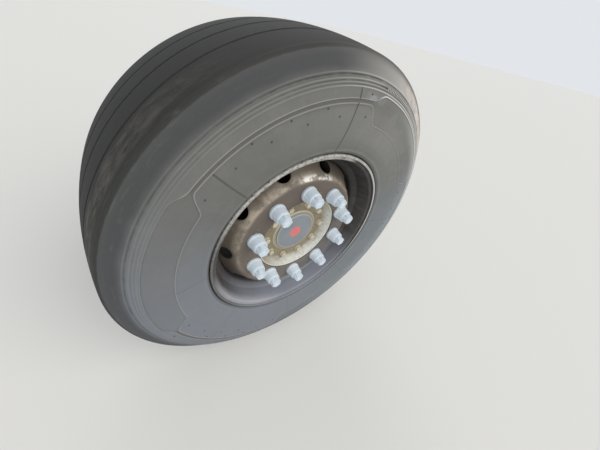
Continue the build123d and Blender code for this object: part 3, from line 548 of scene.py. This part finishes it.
brakeDiscLook = {
    "swept": {"radiusBand": (131, 211.5, 1.5)}, "betweenPlates": {"outboardBand": (-66.5, -23.5, 0.3)},
    "ground": ((112, 107, 101), (156, 150, 143)), "scores": (0.6, 1.6, 5, 0.7),
    "film": {"tone": (112, 88, 68), "share": 0.45, "cloud": (22, 6, 0.7, 0.48, 0.70)},
    "rust": ((96, 62, 42), (130, 92, 64)), "rustCloud": (60, 6, 0.7),
    "roughRamp": (1.6, -0.6), "metal": 0.9, "grain": 300, "depth": 0.2,
}


def brakeDiscFinish():
    look = brakeDiscLook
    finish = WheelFinish("brakeDiscIron", 0.42, 0.75)
    scores = finish.streaks(*look["scores"])
    ground = finish.coated(finish.mix(scores, *look["ground"]), [look["film"]])
    outside = finish.maths("SUBTRACT", 1.0, finish.mask(look["betweenPlates"]))
    swept = finish.mask(look["swept"], outside)
    colour = finish.mix(swept, finish.mottled(look["rust"], *look["rustCloud"]), ground)
    height = finish.maths("ADD", scores, finish.cloud(look["grain"]))
    rough, metal = finish.ramp(swept, *look["roughRamp"]), finish.product(swept, look["metal"])
    return finish.done(colour, height, look["depth"], rough, metal)


# Shapes
def wheelPoint(radius, outboard, angle):
    return (radius * cos(angle) * mm, (wheelMid - outboard) * mm, radius * sin(angle) * mm)


def standing(radius, height, angle):
    return (radius * cos(angle) * mm, radius * sin(angle) * mm, height * mm)


def rounded(corners, steps=5):
    # each corner is (radius, outboard, curl), and a curl of 0 stays sharp
    most = 0.48                          # of a straight, used up by the curl at its end
    line = []
    for index, (radius, outboard, curl) in enumerate(corners):
        here = Vector((radius, outboard))
        before = Vector(corners[index - 1][:2]) - here
        after = Vector(corners[(index + 1) % len(corners)][:2]) - here
        if curl <= 0:
            line.append(here)
            continue
        half = before.angle(after) / 2
        reach = min(curl / tan(half), most * before.length, most * after.length)
        before.normalize()
        after.normalize()
        middle = here + (before + after).normalized() * reach / cos(half)
        first = here + before * reach - middle
        last = here + after * reach - middle
        line += [middle + first.slerp(last, step / steps) * first.length for step in range(steps + 1)]
    return line


def walled(corners, wall, endCurl):
    # a bent sheet's closed outline: its corners, and the same line set off to the right by the wall
    places = [Vector(corner[:2]) for corner in corners]
    runs = [(after - before).normalized() for before, after in zip(places, places[1:])]
    sides = [Vector((run.y, -run.x)) for run in runs]
    back = []
    for index, place in enumerate(places):
        first = sides[max(index - 1, 0)]
        second = sides[min(index, len(sides) - 1)]
        turn = runs[max(index - 1, 0)].cross(runs[min(index, len(runs) - 1)])
        curl = corners[index][2] + (wall if turn > 0 else -wall)
        moved = place + (first + second) / (1 + first.dot(second)) * wall
        back.append((moved.x, moved.y, curl))
    ends = [(corners[0], back[0]), (corners[-1], back[-1])]
    outline = [(*ends[0][0][:2], endCurl), *corners[1:-1], (*ends[1][0][:2], endCurl)]
    outline += [(*ends[1][1][:2], endCurl), *reversed(back[1:-1]), (*ends[0][1][:2], endCurl)]
    return outline


def turned(outline, segments, place=wheelPoint, hexed=()):
    # a closed outline swept round its axis; hexed gives, for each point, how much of a hexagon its ring is
    bluntCorner = 1.13                   # a hexagon's corner, in its half widths
    mesh = bmesh.new()
    rings = []
    for index, (radius, height) in enumerate(outline):
        share = hexed[index] if hexed else 0.0
        ring = []
        for step in range(segments if radius > 0 else 1):
            angle = 2 * pi * step / segments
            corner = (angle + pi / 6) % (pi / 3) - pi / 6
            grown = radius * (1 + share * (min(1 / cos(corner), bluntCorner) - 1))
            ring.append(mesh.verts.new(place(grown, height, angle)))
        rings.append(ring)
    for ring, after in zip(rings, rings[1:] + rings[:1]):
        for step in range(segments):
            corners = []
            for edge, shift in [(ring, 0), (ring, 1), (after, 1), (after, 0)]:
                corner = edge[(step + shift) % len(edge)]
                if corner not in corners:
                    corners.append(corner)
            if len(corners) > 2:
                mesh.faces.new(corners)
    bmesh.ops.recalc_face_normals(mesh, faces=mesh.faces)
    return mesh


def asObject(name, mesh, finish, sharp=35):
    data = bpy.data.meshes.new(name)
    mesh.to_mesh(data)
    mesh.free()
    data.materials.append(finish)
    data.shade_smooth()
    data.set_sharp_from_angle(angle=radians(sharp))
    made = bpy.data.objects.new(name, data)
    scene.collection.objects.link(made)
    return made


def settle(piece, body, slotName, *nodes):
    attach(piece, body)
    if nodes:
        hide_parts(*nodes)
    print("made", piece.name, len(piece.data.polygons), "faces")


def applied(piece):
    # the piece with its modifiers, as a plain mesh under the same name
    depsgraph = bpy.context.evaluated_depsgraph_get()
    data = bpy.data.meshes.new_from_object(piece.evaluated_get(depsgraph))
    name = piece.name
    bpy.data.objects.remove(piece)
    made = bpy.data.objects.new(name, data)
    scene.collection.objects.link(made)
    return made


def ringTree():
    # copies of the piece set on a circle round the wheel's axis, each on its own turn
    tree = bpy.data.node_groups.new("copiesOnRing", "GeometryNodeTree")
    tree.interface.new_socket("Geometry", in_out="INPUT", socket_type="NodeSocketGeometry")
    for name, kind in [
        ("Copies", "Int"), ("Circle Radius", "Float"), ("First Angle", "Float"), ("Spacing", "Float"),
        ("Along Axle", "Float"), ("Lean", "Float"), ("Own Turn", "Float"), ("Seed", "Int"), ("Finish", "Material"),
    ]:
        tree.interface.new_socket(name, in_out="INPUT", socket_type=f"NodeSocket{kind}")
    tree.interface.new_socket("Geometry", in_out="OUTPUT", socket_type="NodeSocketGeometry")

    def rotation(parts):
        euler = addNode(tree, "ShaderNodeCombineXYZ", parts).outputs[0]
        return addNode(tree, "FunctionNodeEulerToRotation", {0: euler}).outputs[0]

    given = addNode(tree, "NodeGroupInput").outputs
    index = addNode(tree, "GeometryNodeInputIndex").outputs[0]
    angle = maths(tree, "MULTIPLY_ADD", index, given["Spacing"], given["First Angle"])
    place = addNode(tree, "ShaderNodeCombineXYZ", {
        0: maths(tree, "MULTIPLY", maths(tree, "COSINE", angle), given["Circle Radius"]),
        1: given["Along Axle"],
        2: maths(tree, "MULTIPLY", maths(tree, "SINE", angle), given["Circle Radius"]),
    }).outputs[0]
    points = addNode(tree, "GeometryNodePoints", {"Count": given["Copies"], "Position": place}).outputs[0]
    stand = rotation({0: pi / 2, 2: given["Lean"]})
    swing = rotation({1: maths(tree, "MULTIPLY", angle, -1.0)})
    placed = addNode(tree, "FunctionNodeRotateRotation", {0: stand, 1: swing}, rotation_space="GLOBAL").outputs[0]
    least = maths(tree, "MULTIPLY", given["Own Turn"], -1.0)
    turn = addNode(tree, "FunctionNodeRandomValue", {2: least, 3: given["Own Turn"], "Seed": given["Seed"]})
    turn = rotation({2: turn.outputs[1]})
    placed = addNode(tree, "FunctionNodeRotateRotation", {0: placed, 1: turn}, rotation_space="LOCAL").outputs[0]
    copies = addNode(tree, "GeometryNodeInstanceOnPoints", {
        "Points": points, "Instance": given["Geometry"], "Rotation": placed,
    }).outputs[0]
    real = addNode(tree, "GeometryNodeRealizeInstances", {0: copies}).outputs[0]
    dressed = addNode(tree, "GeometryNodeSetMaterial", {"Geometry": real, "Material": given["Finish"]}).outputs[0]
    addNode(tree, "NodeGroupOutput", {0: dressed})
    return tree


def ringOfCopies(piece, count, radius, firstAngle, outboard, finish, ownTurn=0.0, lean=0.0, spacing=None, seed=7):
    # angles in degrees; the piece stands on its own Z, which is turned to point outboard
    modifier = piece.modifiers.new("ring", "NODES")
    modifier.node_group = copiesOnRing
    values = {
        "Copies": count,
        "Circle Radius": radius * mm,
        "First Angle": radians(firstAngle),
        "Spacing": radians(360 / count if spacing is None else spacing),
        "Along Axle": (wheelMid - outboard) * mm,
        "Lean": radians(lean),
        "Own Turn": radians(ownTurn),
        "Seed": seed,
        "Finish": finish,
    }
    for socket in copiesOnRing.interface.items_tree:
        if socket.in_out == "INPUT" and socket.name in values:
            modifier[socket.identifier] = values[socket.name]
    return applied(piece)


# Tyre
tyre = {
    "tread": 523.0, "treadHalf": 137.0, "treadDrop": 9.0,
    "shoulder": (490.0, 159.5), "shoulderStep": (498.0, 155.5),
    "shoulderCorner": (512.5, 147.5), "shoulderCurl": 11.0,
    "bulge": (424.2, 185.5),
    "beadLine": (306.6, 164.5),
    "around": 450,                       # columns round the tyre, before those of the mould seams
    "plainStep": 7.0,                    # most between two rings of the sidewall
    "plainTread": 120, "treadStep": 15,  # rings of the tread, from this distance outboard to the same inboard
    "seams": {                           # angle: how dark, and the outer end's radius
        86.6: (0.75, 452), 131.8: (0.6, 422), 177: (0.25, 422), 220: (0.2, 422),
        267: (0.2, 422), 312: (0.2, 422), 357: (0.2, 422), 42: (0.1, 382),
    },
    "seamWidth": 0.36, "seamLift": 0.4, "seamStart": 309,
    "channel": (423.4, 432.8), "field": (383.6, 448.0),
    "fieldMiddles": [50, 168.6, 288], "fieldHalf": (31.0, 30.3), "fieldSlope": (6.4, 5.2),
    "still": (330.0, 451.8),             # the rings between these move with the channel and the fields
    "lineHalf": 1.7, "lineLift": 1.0, "floorLift": -0.9, "fieldShade": 0.3,
    "paleRadii": (304.6, 303.2),         # points of the lining that are still pale
    "treadGrooves": [-65.0, 0.0, 65.0], "grooveHalf": 3.6, "grooveDepth": 3.2,
    "lining": [
        (304.6, 163.2), (303.2, 161.8), (302.2, 158.2), (298.8, 157), (295.5, 151.2), (290.4, 149), (286, 145),
        (276.2, 112), (306.6, 137), (345, 154), (385, 166), (424, 170.5), (452, 162), (476, 138), (489, 100),
        (495, 50),
    ],
}
sidewallMarks = [
    # radius, half width, lift, dark (painted shade in the grooves), wear and highlight
    (311.0, 1.8, 0.7, 0.0, 0.25),
    (453.4, 1.5, 0.6, 0.0, 0.6),
    (456.4, 1.2, -0.5, 0.6, 0.0),
    (459.4, 1.3, 0.4, 0.0, 0.3),
    (462.2, 1.4, -0.7, 0.8, 0.0),
    (465.4, 1.3, 0.4, 0.0, 0.4),
    (468.0, 1.1, -0.3, 0.4, 0.0),
    (471.2, 1.9, -1.4, 1.0, 0.0),
    (475.0, 1.4, 0.4, 0.0, 0.3),
]


def sidewallReach(radius):
    # two arcs that meet at the widest ring
    bulgeRadius, bulgeReach = tyre["bulge"]
    farRadius, farReach = tyre["shoulder"] if radius > bulgeRadius else tyre["beadLine"]
    run, drop = farRadius - bulgeRadius, bulgeReach - farReach
    arc = (run * run + drop * drop) / (2 * drop)
    return bulgeReach - arc + sqrt(arc * arc - (radius - bulgeRadius) ** 2)


def smooth(share):
    share = min(max(share, 0.0), 1.0)
    return share * share * (3 - 2 * share)


def fieldEdges(angle):
    # radii of the two raised lines at this angle in degrees: a channel that opens into fields
    apart = min(abs((angle - middle + 180) % 360 - 180) for middle in tyre["fieldMiddles"])
    edges = []
    for channel, field, half, slope in zip(*(tyre[key] for key in ("channel", "field", "fieldHalf", "fieldSlope"))):
        edges.append(channel + smooth((half - apart) / slope) * (field - channel))
    return edges


def lineWidening(angle):
    # how much wider along a radius each raised line has to be where it runs across the rings
    step = 0.2
    before, here, after = fieldEdges(angle - step), fieldEdges(angle), fieldEdges(angle + step)
    return [
        sqrt(1 + ((high - low) / (2 * radians(step) * middle)) ** 2)
        for low, middle, high in zip(before, here, after)
    ]


def warped(radius, edges, widening):
    # moves a ring with the two raised lines
    half = tyre["lineHalf"]
    knots = [(tyre["still"][0], tyre["still"][0])]
    for edge, moved, wider in zip(tyre["channel"], edges, widening):
        knots += [(edge - half, moved - half * wider), (edge + half, moved + half * wider)]
    knots.append((tyre["still"][1], tyre["still"][1]))
    for (low, lowMoved), (high, highMoved) in zip(knots, knots[1:]):
        if low <= radius <= high:
            return lowMoved + (radius - low) / (high - low) * (highMoved - lowMoved)
    return radius


def sidewallRings():
    # outboard sidewall from the bead line to the shoulder: radius, lift, dark, wear and highlight, floor of the band
    half, lift, low = tyre["lineHalf"], tyre["lineLift"], tyre["floorLift"]
    inner, outer = tyre["channel"]
    rings = [(inner - half, 0, 0, 0, 0), (inner - half / 3, lift, 0, 1, 0), (inner + half / 3, lift, 0, 1, 0)]
    floorSteps = 7
    for step in range(floorSteps):
        rings.append((inner + half + (outer - inner - 2 * half) * step / (floorSteps - 1), low, 0, 0, 1))
    rings += [(outer - half / 3, lift, 0, 1, 0), (outer + half / 3, lift, 0, 1, 0), (outer + half, 0, 0, 0, 0)]
    for radius, half, lift, dark, worn in sidewallMarks:
        rings += [(radius - half, 0, 0, 0, 0), (radius - half / 3, lift, dark, worn, 0)]
        rings += [(radius + half / 3, lift, dark, worn, 0), (radius + half, 0, 0, 0, 0)]
    # the bead line is marked a little dark: painted shade by the rim
    rings += [(tyre["beadLine"][0], 0, 0.3, 0, 0), (tyre["shoulder"][0], 0, 0, 0, 0)]
    rings.sort()
    filled = [rings[0]]
    for ring in rings[1:]:
        gap = ring[0] - filled[-1][0]
        if gap > tyre["plainStep"]:
            start, count = filled[-1][0], int(gap / tyre["plainStep"]) + 1
            filled += [(start + gap * step / count, 0, 0, 0, 0) for step in range(1, count)]
        filled.append(ring)
    return filled


def treadRings():
    # from the outboard shoulder over the tread to the inboard one: radius, outboard, dark, wear and highlight
    def crown(outboard):
        return tyre["tread"] - tyre["treadDrop"] * (outboard / tyre["treadHalf"]) ** 2

    edge = (crown(tyre["treadHalf"]), tyre["treadHalf"])
    corner = rounded([(*tyre["shoulder"], 0), (*tyre["shoulderCorner"], tyre["shoulderCurl"]), (*edge, 0)])[1:-1]
    rings = [(*tyre["shoulderStep"], 0, 0)]
    rings += [(point.x, point.y, 0, 0.1) for point in corner] + [(*edge, 0, 0)]
    plain = tyre["plainTread"]
    places = [(outboard, 0) for outboard in range(plain, -plain - 1, -tyre["treadStep"])]
    half, depth = tyre["grooveHalf"], tyre["grooveDepth"]
    for middle in tyre["treadGrooves"]:
        places = [place for place in places if abs(place[0] - middle) > 2 * half]
        places += [(middle + half, 0), (middle + half * 0.7, depth), (middle - half * 0.7, depth), (middle - half, 0)]
    # the grooves are marked dark: painted shade
    for outboard, drop in sorted(places, reverse=True):
        rings.append((crown(outboard) - drop, outboard, 1 if drop else 0, 0))
    rings += [(radius, -outboard, dark, worn) for radius, outboard, dark, worn in reversed(rings[:len(corner) + 2])]
    return rings


def tyreAngles():
    # columns round the tyre, with closer ones across each mould seam
    width = tyre["seamWidth"]
    angles = [360 * step / tyre["around"] for step in range(tyre["around"])]
    for seam in tyre["seams"]:
        angles = [angle for angle in angles if abs(angle - seam) > width]
        angles += [(seam + share * width) % 360 for share in (-1, -0.6, 0, 0.6, 1)]
    return sorted(angles)


def makeTyre(finish):
    points = []
    marks = {"dark": [], "worn": [], "floorOfBand": []}

    def addPoint(radius, outboard, turn, *values):
        points.append(wheelPoint(radius, outboard, turn))
        for name, value in zip(marks, values):
            marks[name].append(value)

    angles = tyreAngles()
    sidewall, tread, lining = sidewallRings(), treadRings(), tyre["lining"]
    inboard = [ring for ring in sidewall if not ring[4] and ring[3] != 1]
    for angle in angles:
        turn = radians(angle)
        edges, widening = fieldEdges(angle), lineWidening(angle)
        # the painted shade on the floor between the raised lines is darkest in the narrow channel
        narrow = (tyre["channel"][1] - tyre["channel"][0]) / (edges[1] - edges[0])
        floorShade = tyre["fieldShade"] + (1 - tyre["fieldShade"]) * narrow ** 2
        seamShare, seamEnd = 0.0, 0.0
        for seam, mark in tyre["seams"].items():
            if abs((angle - seam + 180) % 360 - 180) < tyre["seamWidth"] * 0.7:
                seamShare, seamEnd = mark
        for radius, lift, dark, worn, low in sidewall:
            moved = warped(radius, edges, widening)
            onSeam = seamShare if tyre["seamStart"] < radius < seamEnd and not low else 0.0
            reach = sidewallReach(moved) + lift + onSeam * tyre["seamLift"]
            addPoint(moved, reach, turn, max(dark, onSeam), worn, low * floorShade)
        for radius, outboard, dark, worn in tread:
            addPoint(radius, outboard, turn, dark, worn, 0)
        for radius, lift, dark, worn, low in reversed(inboard):
            addPoint(radius, -sidewallReach(radius) - lift, turn, dark, worn, 0)
        # the lining is marked dark, painted shade in the gap beside the rim, but for the bead's edge that is still
        # pale
        for radius, outboard in [(radius, -outboard) for radius, outboard in lining] + lining[::-1]:
            addPoint(radius, outboard, turn, 0.35 if radius in tyre["paleRadii"] else 1, 0, 0)
    count = len(points) // len(angles)
    faces = []
    for column in range(len(angles)):
        here, after = column * count, (column + 1) % len(angles) * count
        for ring in range(count):
            faces.append((here + ring, after + ring, after + (ring + 1) % count, here + (ring + 1) % count))
    data = bpy.data.meshes.new("tyre")
    data.from_pydata(points, [], faces)
    for name, values in marks.items():
        data.attributes.new(name, "FLOAT", "POINT").data.foreach_set("value", values)
    mesh = bmesh.new()
    mesh.from_mesh(data)
    bmesh.ops.recalc_face_normals(mesh, faces=mesh.faces)
    made = asObject("weatheredTyre", mesh, finish, sharp=60)
    settle(made, "wheel", "tyre", "tyre")


# Rim, wheel disc, hub and cap
rim = {
    "wall": 6.5, "endCurl": 1.3, "segments": 256,
    "corners": [
        (298.45, 163.0, 0), (298.45, 149.25, 8), (285.75, 149.25, 4), (273.7, 104.25, 12), (255.75, 88, 10),
        (255.75, 38, 10), (273.7, 16, 12), (273.7, -104.25, 12), (285.75, -149.25, 4), (298.45, -149.25, 8),
        (298.45, -163.0, 0),
    ],
}
disc = {
    "wall": 11.0, "endCurl": 1.2, "segments": 320,
    "corners": [(140.5, 131, 0), (208.5, 131, 22), (248.95, 75, 22), (248.95, 44, 0)],
    "holeRadius": 22.0, "holeSetback": 27.0, "holes": 10, "firstHole": 144.54, "holeSegments": 48,
}
hub = {
    "segments": 256,
    "corners": [
        (66, 103, 0), (117, 103, 2), (137, 126.5, 1), (140.2, 126.5, 1), (140.2, 120, 0), (190, 120, 1.5),
        (190, 100, 3), (128, 100, 8), (104, 80, 8), (104, -6.5, 4), (124, -6.5, 2), (124, -22.5, 0),
        (100, -22.5, 0), (100, -60, 2), (47.05, -60, 1), (47.05, 80, 0), (66, 80, 0),
    ],
}
cap = {
    "segments": 192,
    "corners": [
        (0, 109.5, 0), (69, 109.5, 1.2), (70.6, 107.9, 0.8), (70.6, 105.5, 0.8), (78.5, 105.5, 1.4), (81, 103, 0),
        (65.7, 103, 0), (65.7, 94, 0), (62.7, 94, 0), (62.7, 106.5, 1), (0, 106.5, 0),
    ],
}


def makeRim(finish):
    outline = rounded(walled(rim["corners"], rim["wall"], rim["endCurl"]))
    made = asObject("paintedRim", turned(outline, rim["segments"]), finish)
    settle(made, "wheel", "rim", "rim")


def makeDisc(finish):
    outline = rounded(walled(disc["corners"], disc["wall"], disc["endCurl"]), steps=8)
    made = asObject("pressedDisc", turned(outline, disc["segments"]), finish)
    cutter = bmesh.new()
    middle, rise, out = handHole()
    segments = disc["holeSegments"]
    for hole in range(disc["holes"]):
        turn = radians(disc["firstHole"] + 360 * hole / disc["holes"])
        tangent = Vector((-sin(turn), 0, cos(turn)))
        rings = []
        for depth in (disc["wall"], -2 * disc["wall"]):
            rings.append([])
            for step in range(segments):
                angle = 2 * pi * step / segments
                place = middle + out * depth + rise * disc["holeRadius"] * sin(angle)
                point = Vector(wheelPoint(*place, turn)) + tangent * disc["holeRadius"] * mm * cos(angle)
                rings[-1].append(cutter.verts.new(point))
        for step in range(segments):
            after = (step + 1) % segments
            cutter.faces.new((rings[0][step], rings[0][after], rings[1][after], rings[1][step]))
        cutter.faces.new(rings[0])
        cutter.faces.new(rings[1])
    bmesh.ops.recalc_face_normals(cutter, faces=cutter.faces)
    holes = asObject("handHoles", cutter, finish)
    cut = made.modifiers.new("cut", "BOOLEAN")
    cut.operation = "DIFFERENCE"
    cut.solver = "EXACT"
    cut.object = holes
    made = applied(made)
    bpy.data.objects.remove(holes)
    made.data.set_sharp_from_angle(angle=radians(35))
    settle(made, "wheel", "wheel_disc", "wheel_disc")


def makeHub(finish, capPaint):
    made = asObject("dishedHub", turned(rounded(hub["corners"]), hub["segments"]), finish)
    settle(made, "wheel", "hub", "hub")
    made = asObject("pressedHubCap", turned(rounded(cap["corners"], steps=4), cap["segments"]), capPaint)
    settle(made, "wheel", "hub_cap", "hub_cap")


# Nut caps and hub bolts, each made once and set round by the ring tree
nutCap = {
    "count": 10, "circle": 167.5, "firstAngle": 126.54, "seat": 131.0, "segments": 48, "ownTurn": 180, "seed": 4,
    "outline": [
        # radius, height, share of a hexagon
        (22.8, 0, 0), (24.8, 0.0, 0), (25.2, 1.0, 0), (24.7, 7.4, 0), (24.2, 8.4, 0), (23.6, 9.0, 0), (23.2, 10.2, 0),
        (21.4, 26.0, 0), (20.4, 33.6, 0), (19.6, 34.9, 0), (18.4, 35.5, 0), (16.2, 36.2, 0.3), (15.4, 37.6, 1),
        (14.8, 51.2, 1), (14.3, 52.4, 1), (13.4, 53.0, 1), (11.0, 53.0, 0.6), (10.2, 52.3, 0), (0, 51.9, 0),
        (0, 42.0, 0), (12.0, 42.0, 0), (12.0, 28.0, 0), (19.6, 28.0, 0), (19.6, 6.0, 0), (22.8, 6.0, 0),
    ],
}
hubBolt = {
    "count": 10, "circle": 104.5, "firstAngle": 108.5, "seat": 103.0, "segments": 36, "ownTurn": 60, "seed": 9,
    "outline": [
        (11.5, 0, 0), (11.5, 1.4, 0), (10.9, 2.1, 0), (9.1, 2.5, 0.3), (8.9, 3.0, 1), (8.9, 8.6, 1), (8.3, 9.8, 0.4),
        (7.4, 10.2, 0), (0, 10.2, 0), (0, 0, 0),
    ],
}


def makeRing(name, part, finish, slotName, *nodes):
    outline = [corner[:2] for corner in part["outline"]]
    shares = [corner[2] for corner in part["outline"]]
    piece = asObject(name, turned(outline, part["segments"], standing, shares), finish, sharp=28)
    piece = ringOfCopies(
        piece, part["count"], part["circle"], part["firstAngle"], part["seat"], finish,
        ownTurn=part["ownTurn"], seed=part["seed"],
    )
    settle(piece, "wheel", slotName, *nodes)


# Marks moulded on the tyre: vent stubs in rings, and a knurled strip above the first field
ventStubs = {
    "outline": [(2.7, -0.5), (1.8, 0.84), (1.08, 1.2), (0, 1.2), (0, -0.5)], "segments": 8,
    "groups": (0, 119, 238),             # each group's turn from the first
    "rows": [(398.0, 6, 81.0, 11.5), (417.5, 3, 97.5, 11.4), (443.0, 1, 82.0, 0)],   # radius, count, angle, spacing
}
knurl = {
    "radius": 462.6, "firstAngle": 24.0, "spacing": 0.9, "count": 58, "lean": 20,
    "long": 6.4, "ridge": 5.12, "wide": 3.0, "high": 1.8, "foot": 1.0, "sunk": 0.4,
}


def makeTyreMarks(stubRubber, stripRubber):
    for group, turn in enumerate(ventStubs["groups"]):
        for row, (radius, count, firstAngle, spacing) in enumerate(ventStubs["rows"]):
            stub = turned(ventStubs["outline"], ventStubs["segments"], standing)
            stub = asObject(f"ventStubs{group + 1}{row + 1}", stub, stubRubber)
            reach = sidewallReach(radius)
            piece = ringOfCopies(stub, count, radius, firstAngle + turn, reach, stubRubber, spacing=spacing)
            settle(piece, "wheel", "tyre")
    long, ridge, wide = knurl["long"] / 2, knurl["ridge"] / 2, knurl["wide"] / 2
    mesh = bmesh.new()
    points = [(x, y, -knurl["foot"]) for x, y in [(-long, -wide), (long, -wide), (long, wide), (-long, wide)]]
    points += [(-ridge, 0, knurl["high"]), (ridge, 0, knurl["high"])]
    points = [mesh.verts.new(Vector(point) * mm) for point in points]
    for corners in [(0, 1, 5, 4), (1, 2, 5), (2, 3, 4, 5), (3, 0, 4), (3, 2, 1, 0)]:
        mesh.faces.new([points[corner] for corner in corners])
    bmesh.ops.recalc_face_normals(mesh, faces=mesh.faces)
    strip = asObject("knurledStrip", mesh, stripRubber)
    piece = ringOfCopies(
        strip, knurl["count"], knurl["radius"], knurl["firstAngle"],
        sidewallReach(knurl["radius"]) - knurl["sunk"], stripRubber,
        lean=knurl["lean"], spacing=knurl["spacing"],
    )
    settle(piece, "wheel", "tyre")


# Finishes of the marks, and of the CAD nodes that keep their shape
markFinishes = {
    "stubRubber": ((58, 57, 55), (72, 70, 67), (66, 62, 58), 0.85),
    # the knurled strip is pale: wear and a painted highlight
    "stripRubber": ((178, 175, 169), (206, 201, 195), (190, 184, 176), 0.85),
}
nodeFinishes = {
    # dark, pale and rusty tones, roughness, metal, share of rust, nodes
    "castIron": ((66, 60, 56), (96, 88, 80), (104, 74, 52), 0.75, 0.0, 0.5, ["caliper", "brake_carrier"]),
    "axlePaint": ((48, 47, 46), (72, 69, 65), (92, 70, 54), 0.62, 0.0, 0.3, ["axle_tube", "spindle"]),
    "chamberPaint": (
        (44, 45, 47), (62, 62, 63), (90, 72, 58), 0.5, 0.0, 0.2, ["service_chamber", "spring_chamber"]),
    "zincPlate": (
        (128, 124, 116), (158, 152, 142), (120, 96, 70), 0.45, 0.6, 0.35,
        ["chamber_band", "guide_pins", "carrier_bolts", "pad_retainer", "wheel_studs", "wheel_nuts", "pole_ring"]),
    "padLining": ((58, 54, 50), (84, 76, 68), (110, 80, 58), 0.85, 0.0, 0.5, ["pad_inner", "pad_outer"]),
    "valveBrass": ((120, 104, 70), (152, 134, 92), (84, 72, 52), 0.45, 0.6, 0.4, ["valve"]),
}


def dressNode(node, finish):
    # the finish goes into the node's own slots
    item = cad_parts[node]
    if not item.data.materials:
        item.data.materials.append(finish)
    for slot in item.material_slots:
        slot.material = finish


setCamera()
setLight()
makeFloor()
print("stage set")
copiesOnRing = ringTree()
makeTyre(rubberFinish())
makeTyreMarks(*(ironFinish(name, *values) for name, values in markFinishes.items()))
makeRim(rimFinish())
makeDisc(discFinish())
makeHub(hubFinish(), plainFinish("hubCapPaint"))
makeRing("paleNutCaps", nutCap, plainFinish("paleNutCapPlastic"), "nut_caps", "nut_caps")
makeRing("dishBolts", hubBolt, plainFinish("dustyBolts"), "hub_bolts", "hub_bolts")
print("wheel made")
dressNode("brake_disc", brakeDiscFinish())
for name, (*values, nodes) in nodeFinishes.items():
    finish = ironFinish(name, *values)
    for node in nodes:
        dressNode(node, finish)
print("nodes dressed")
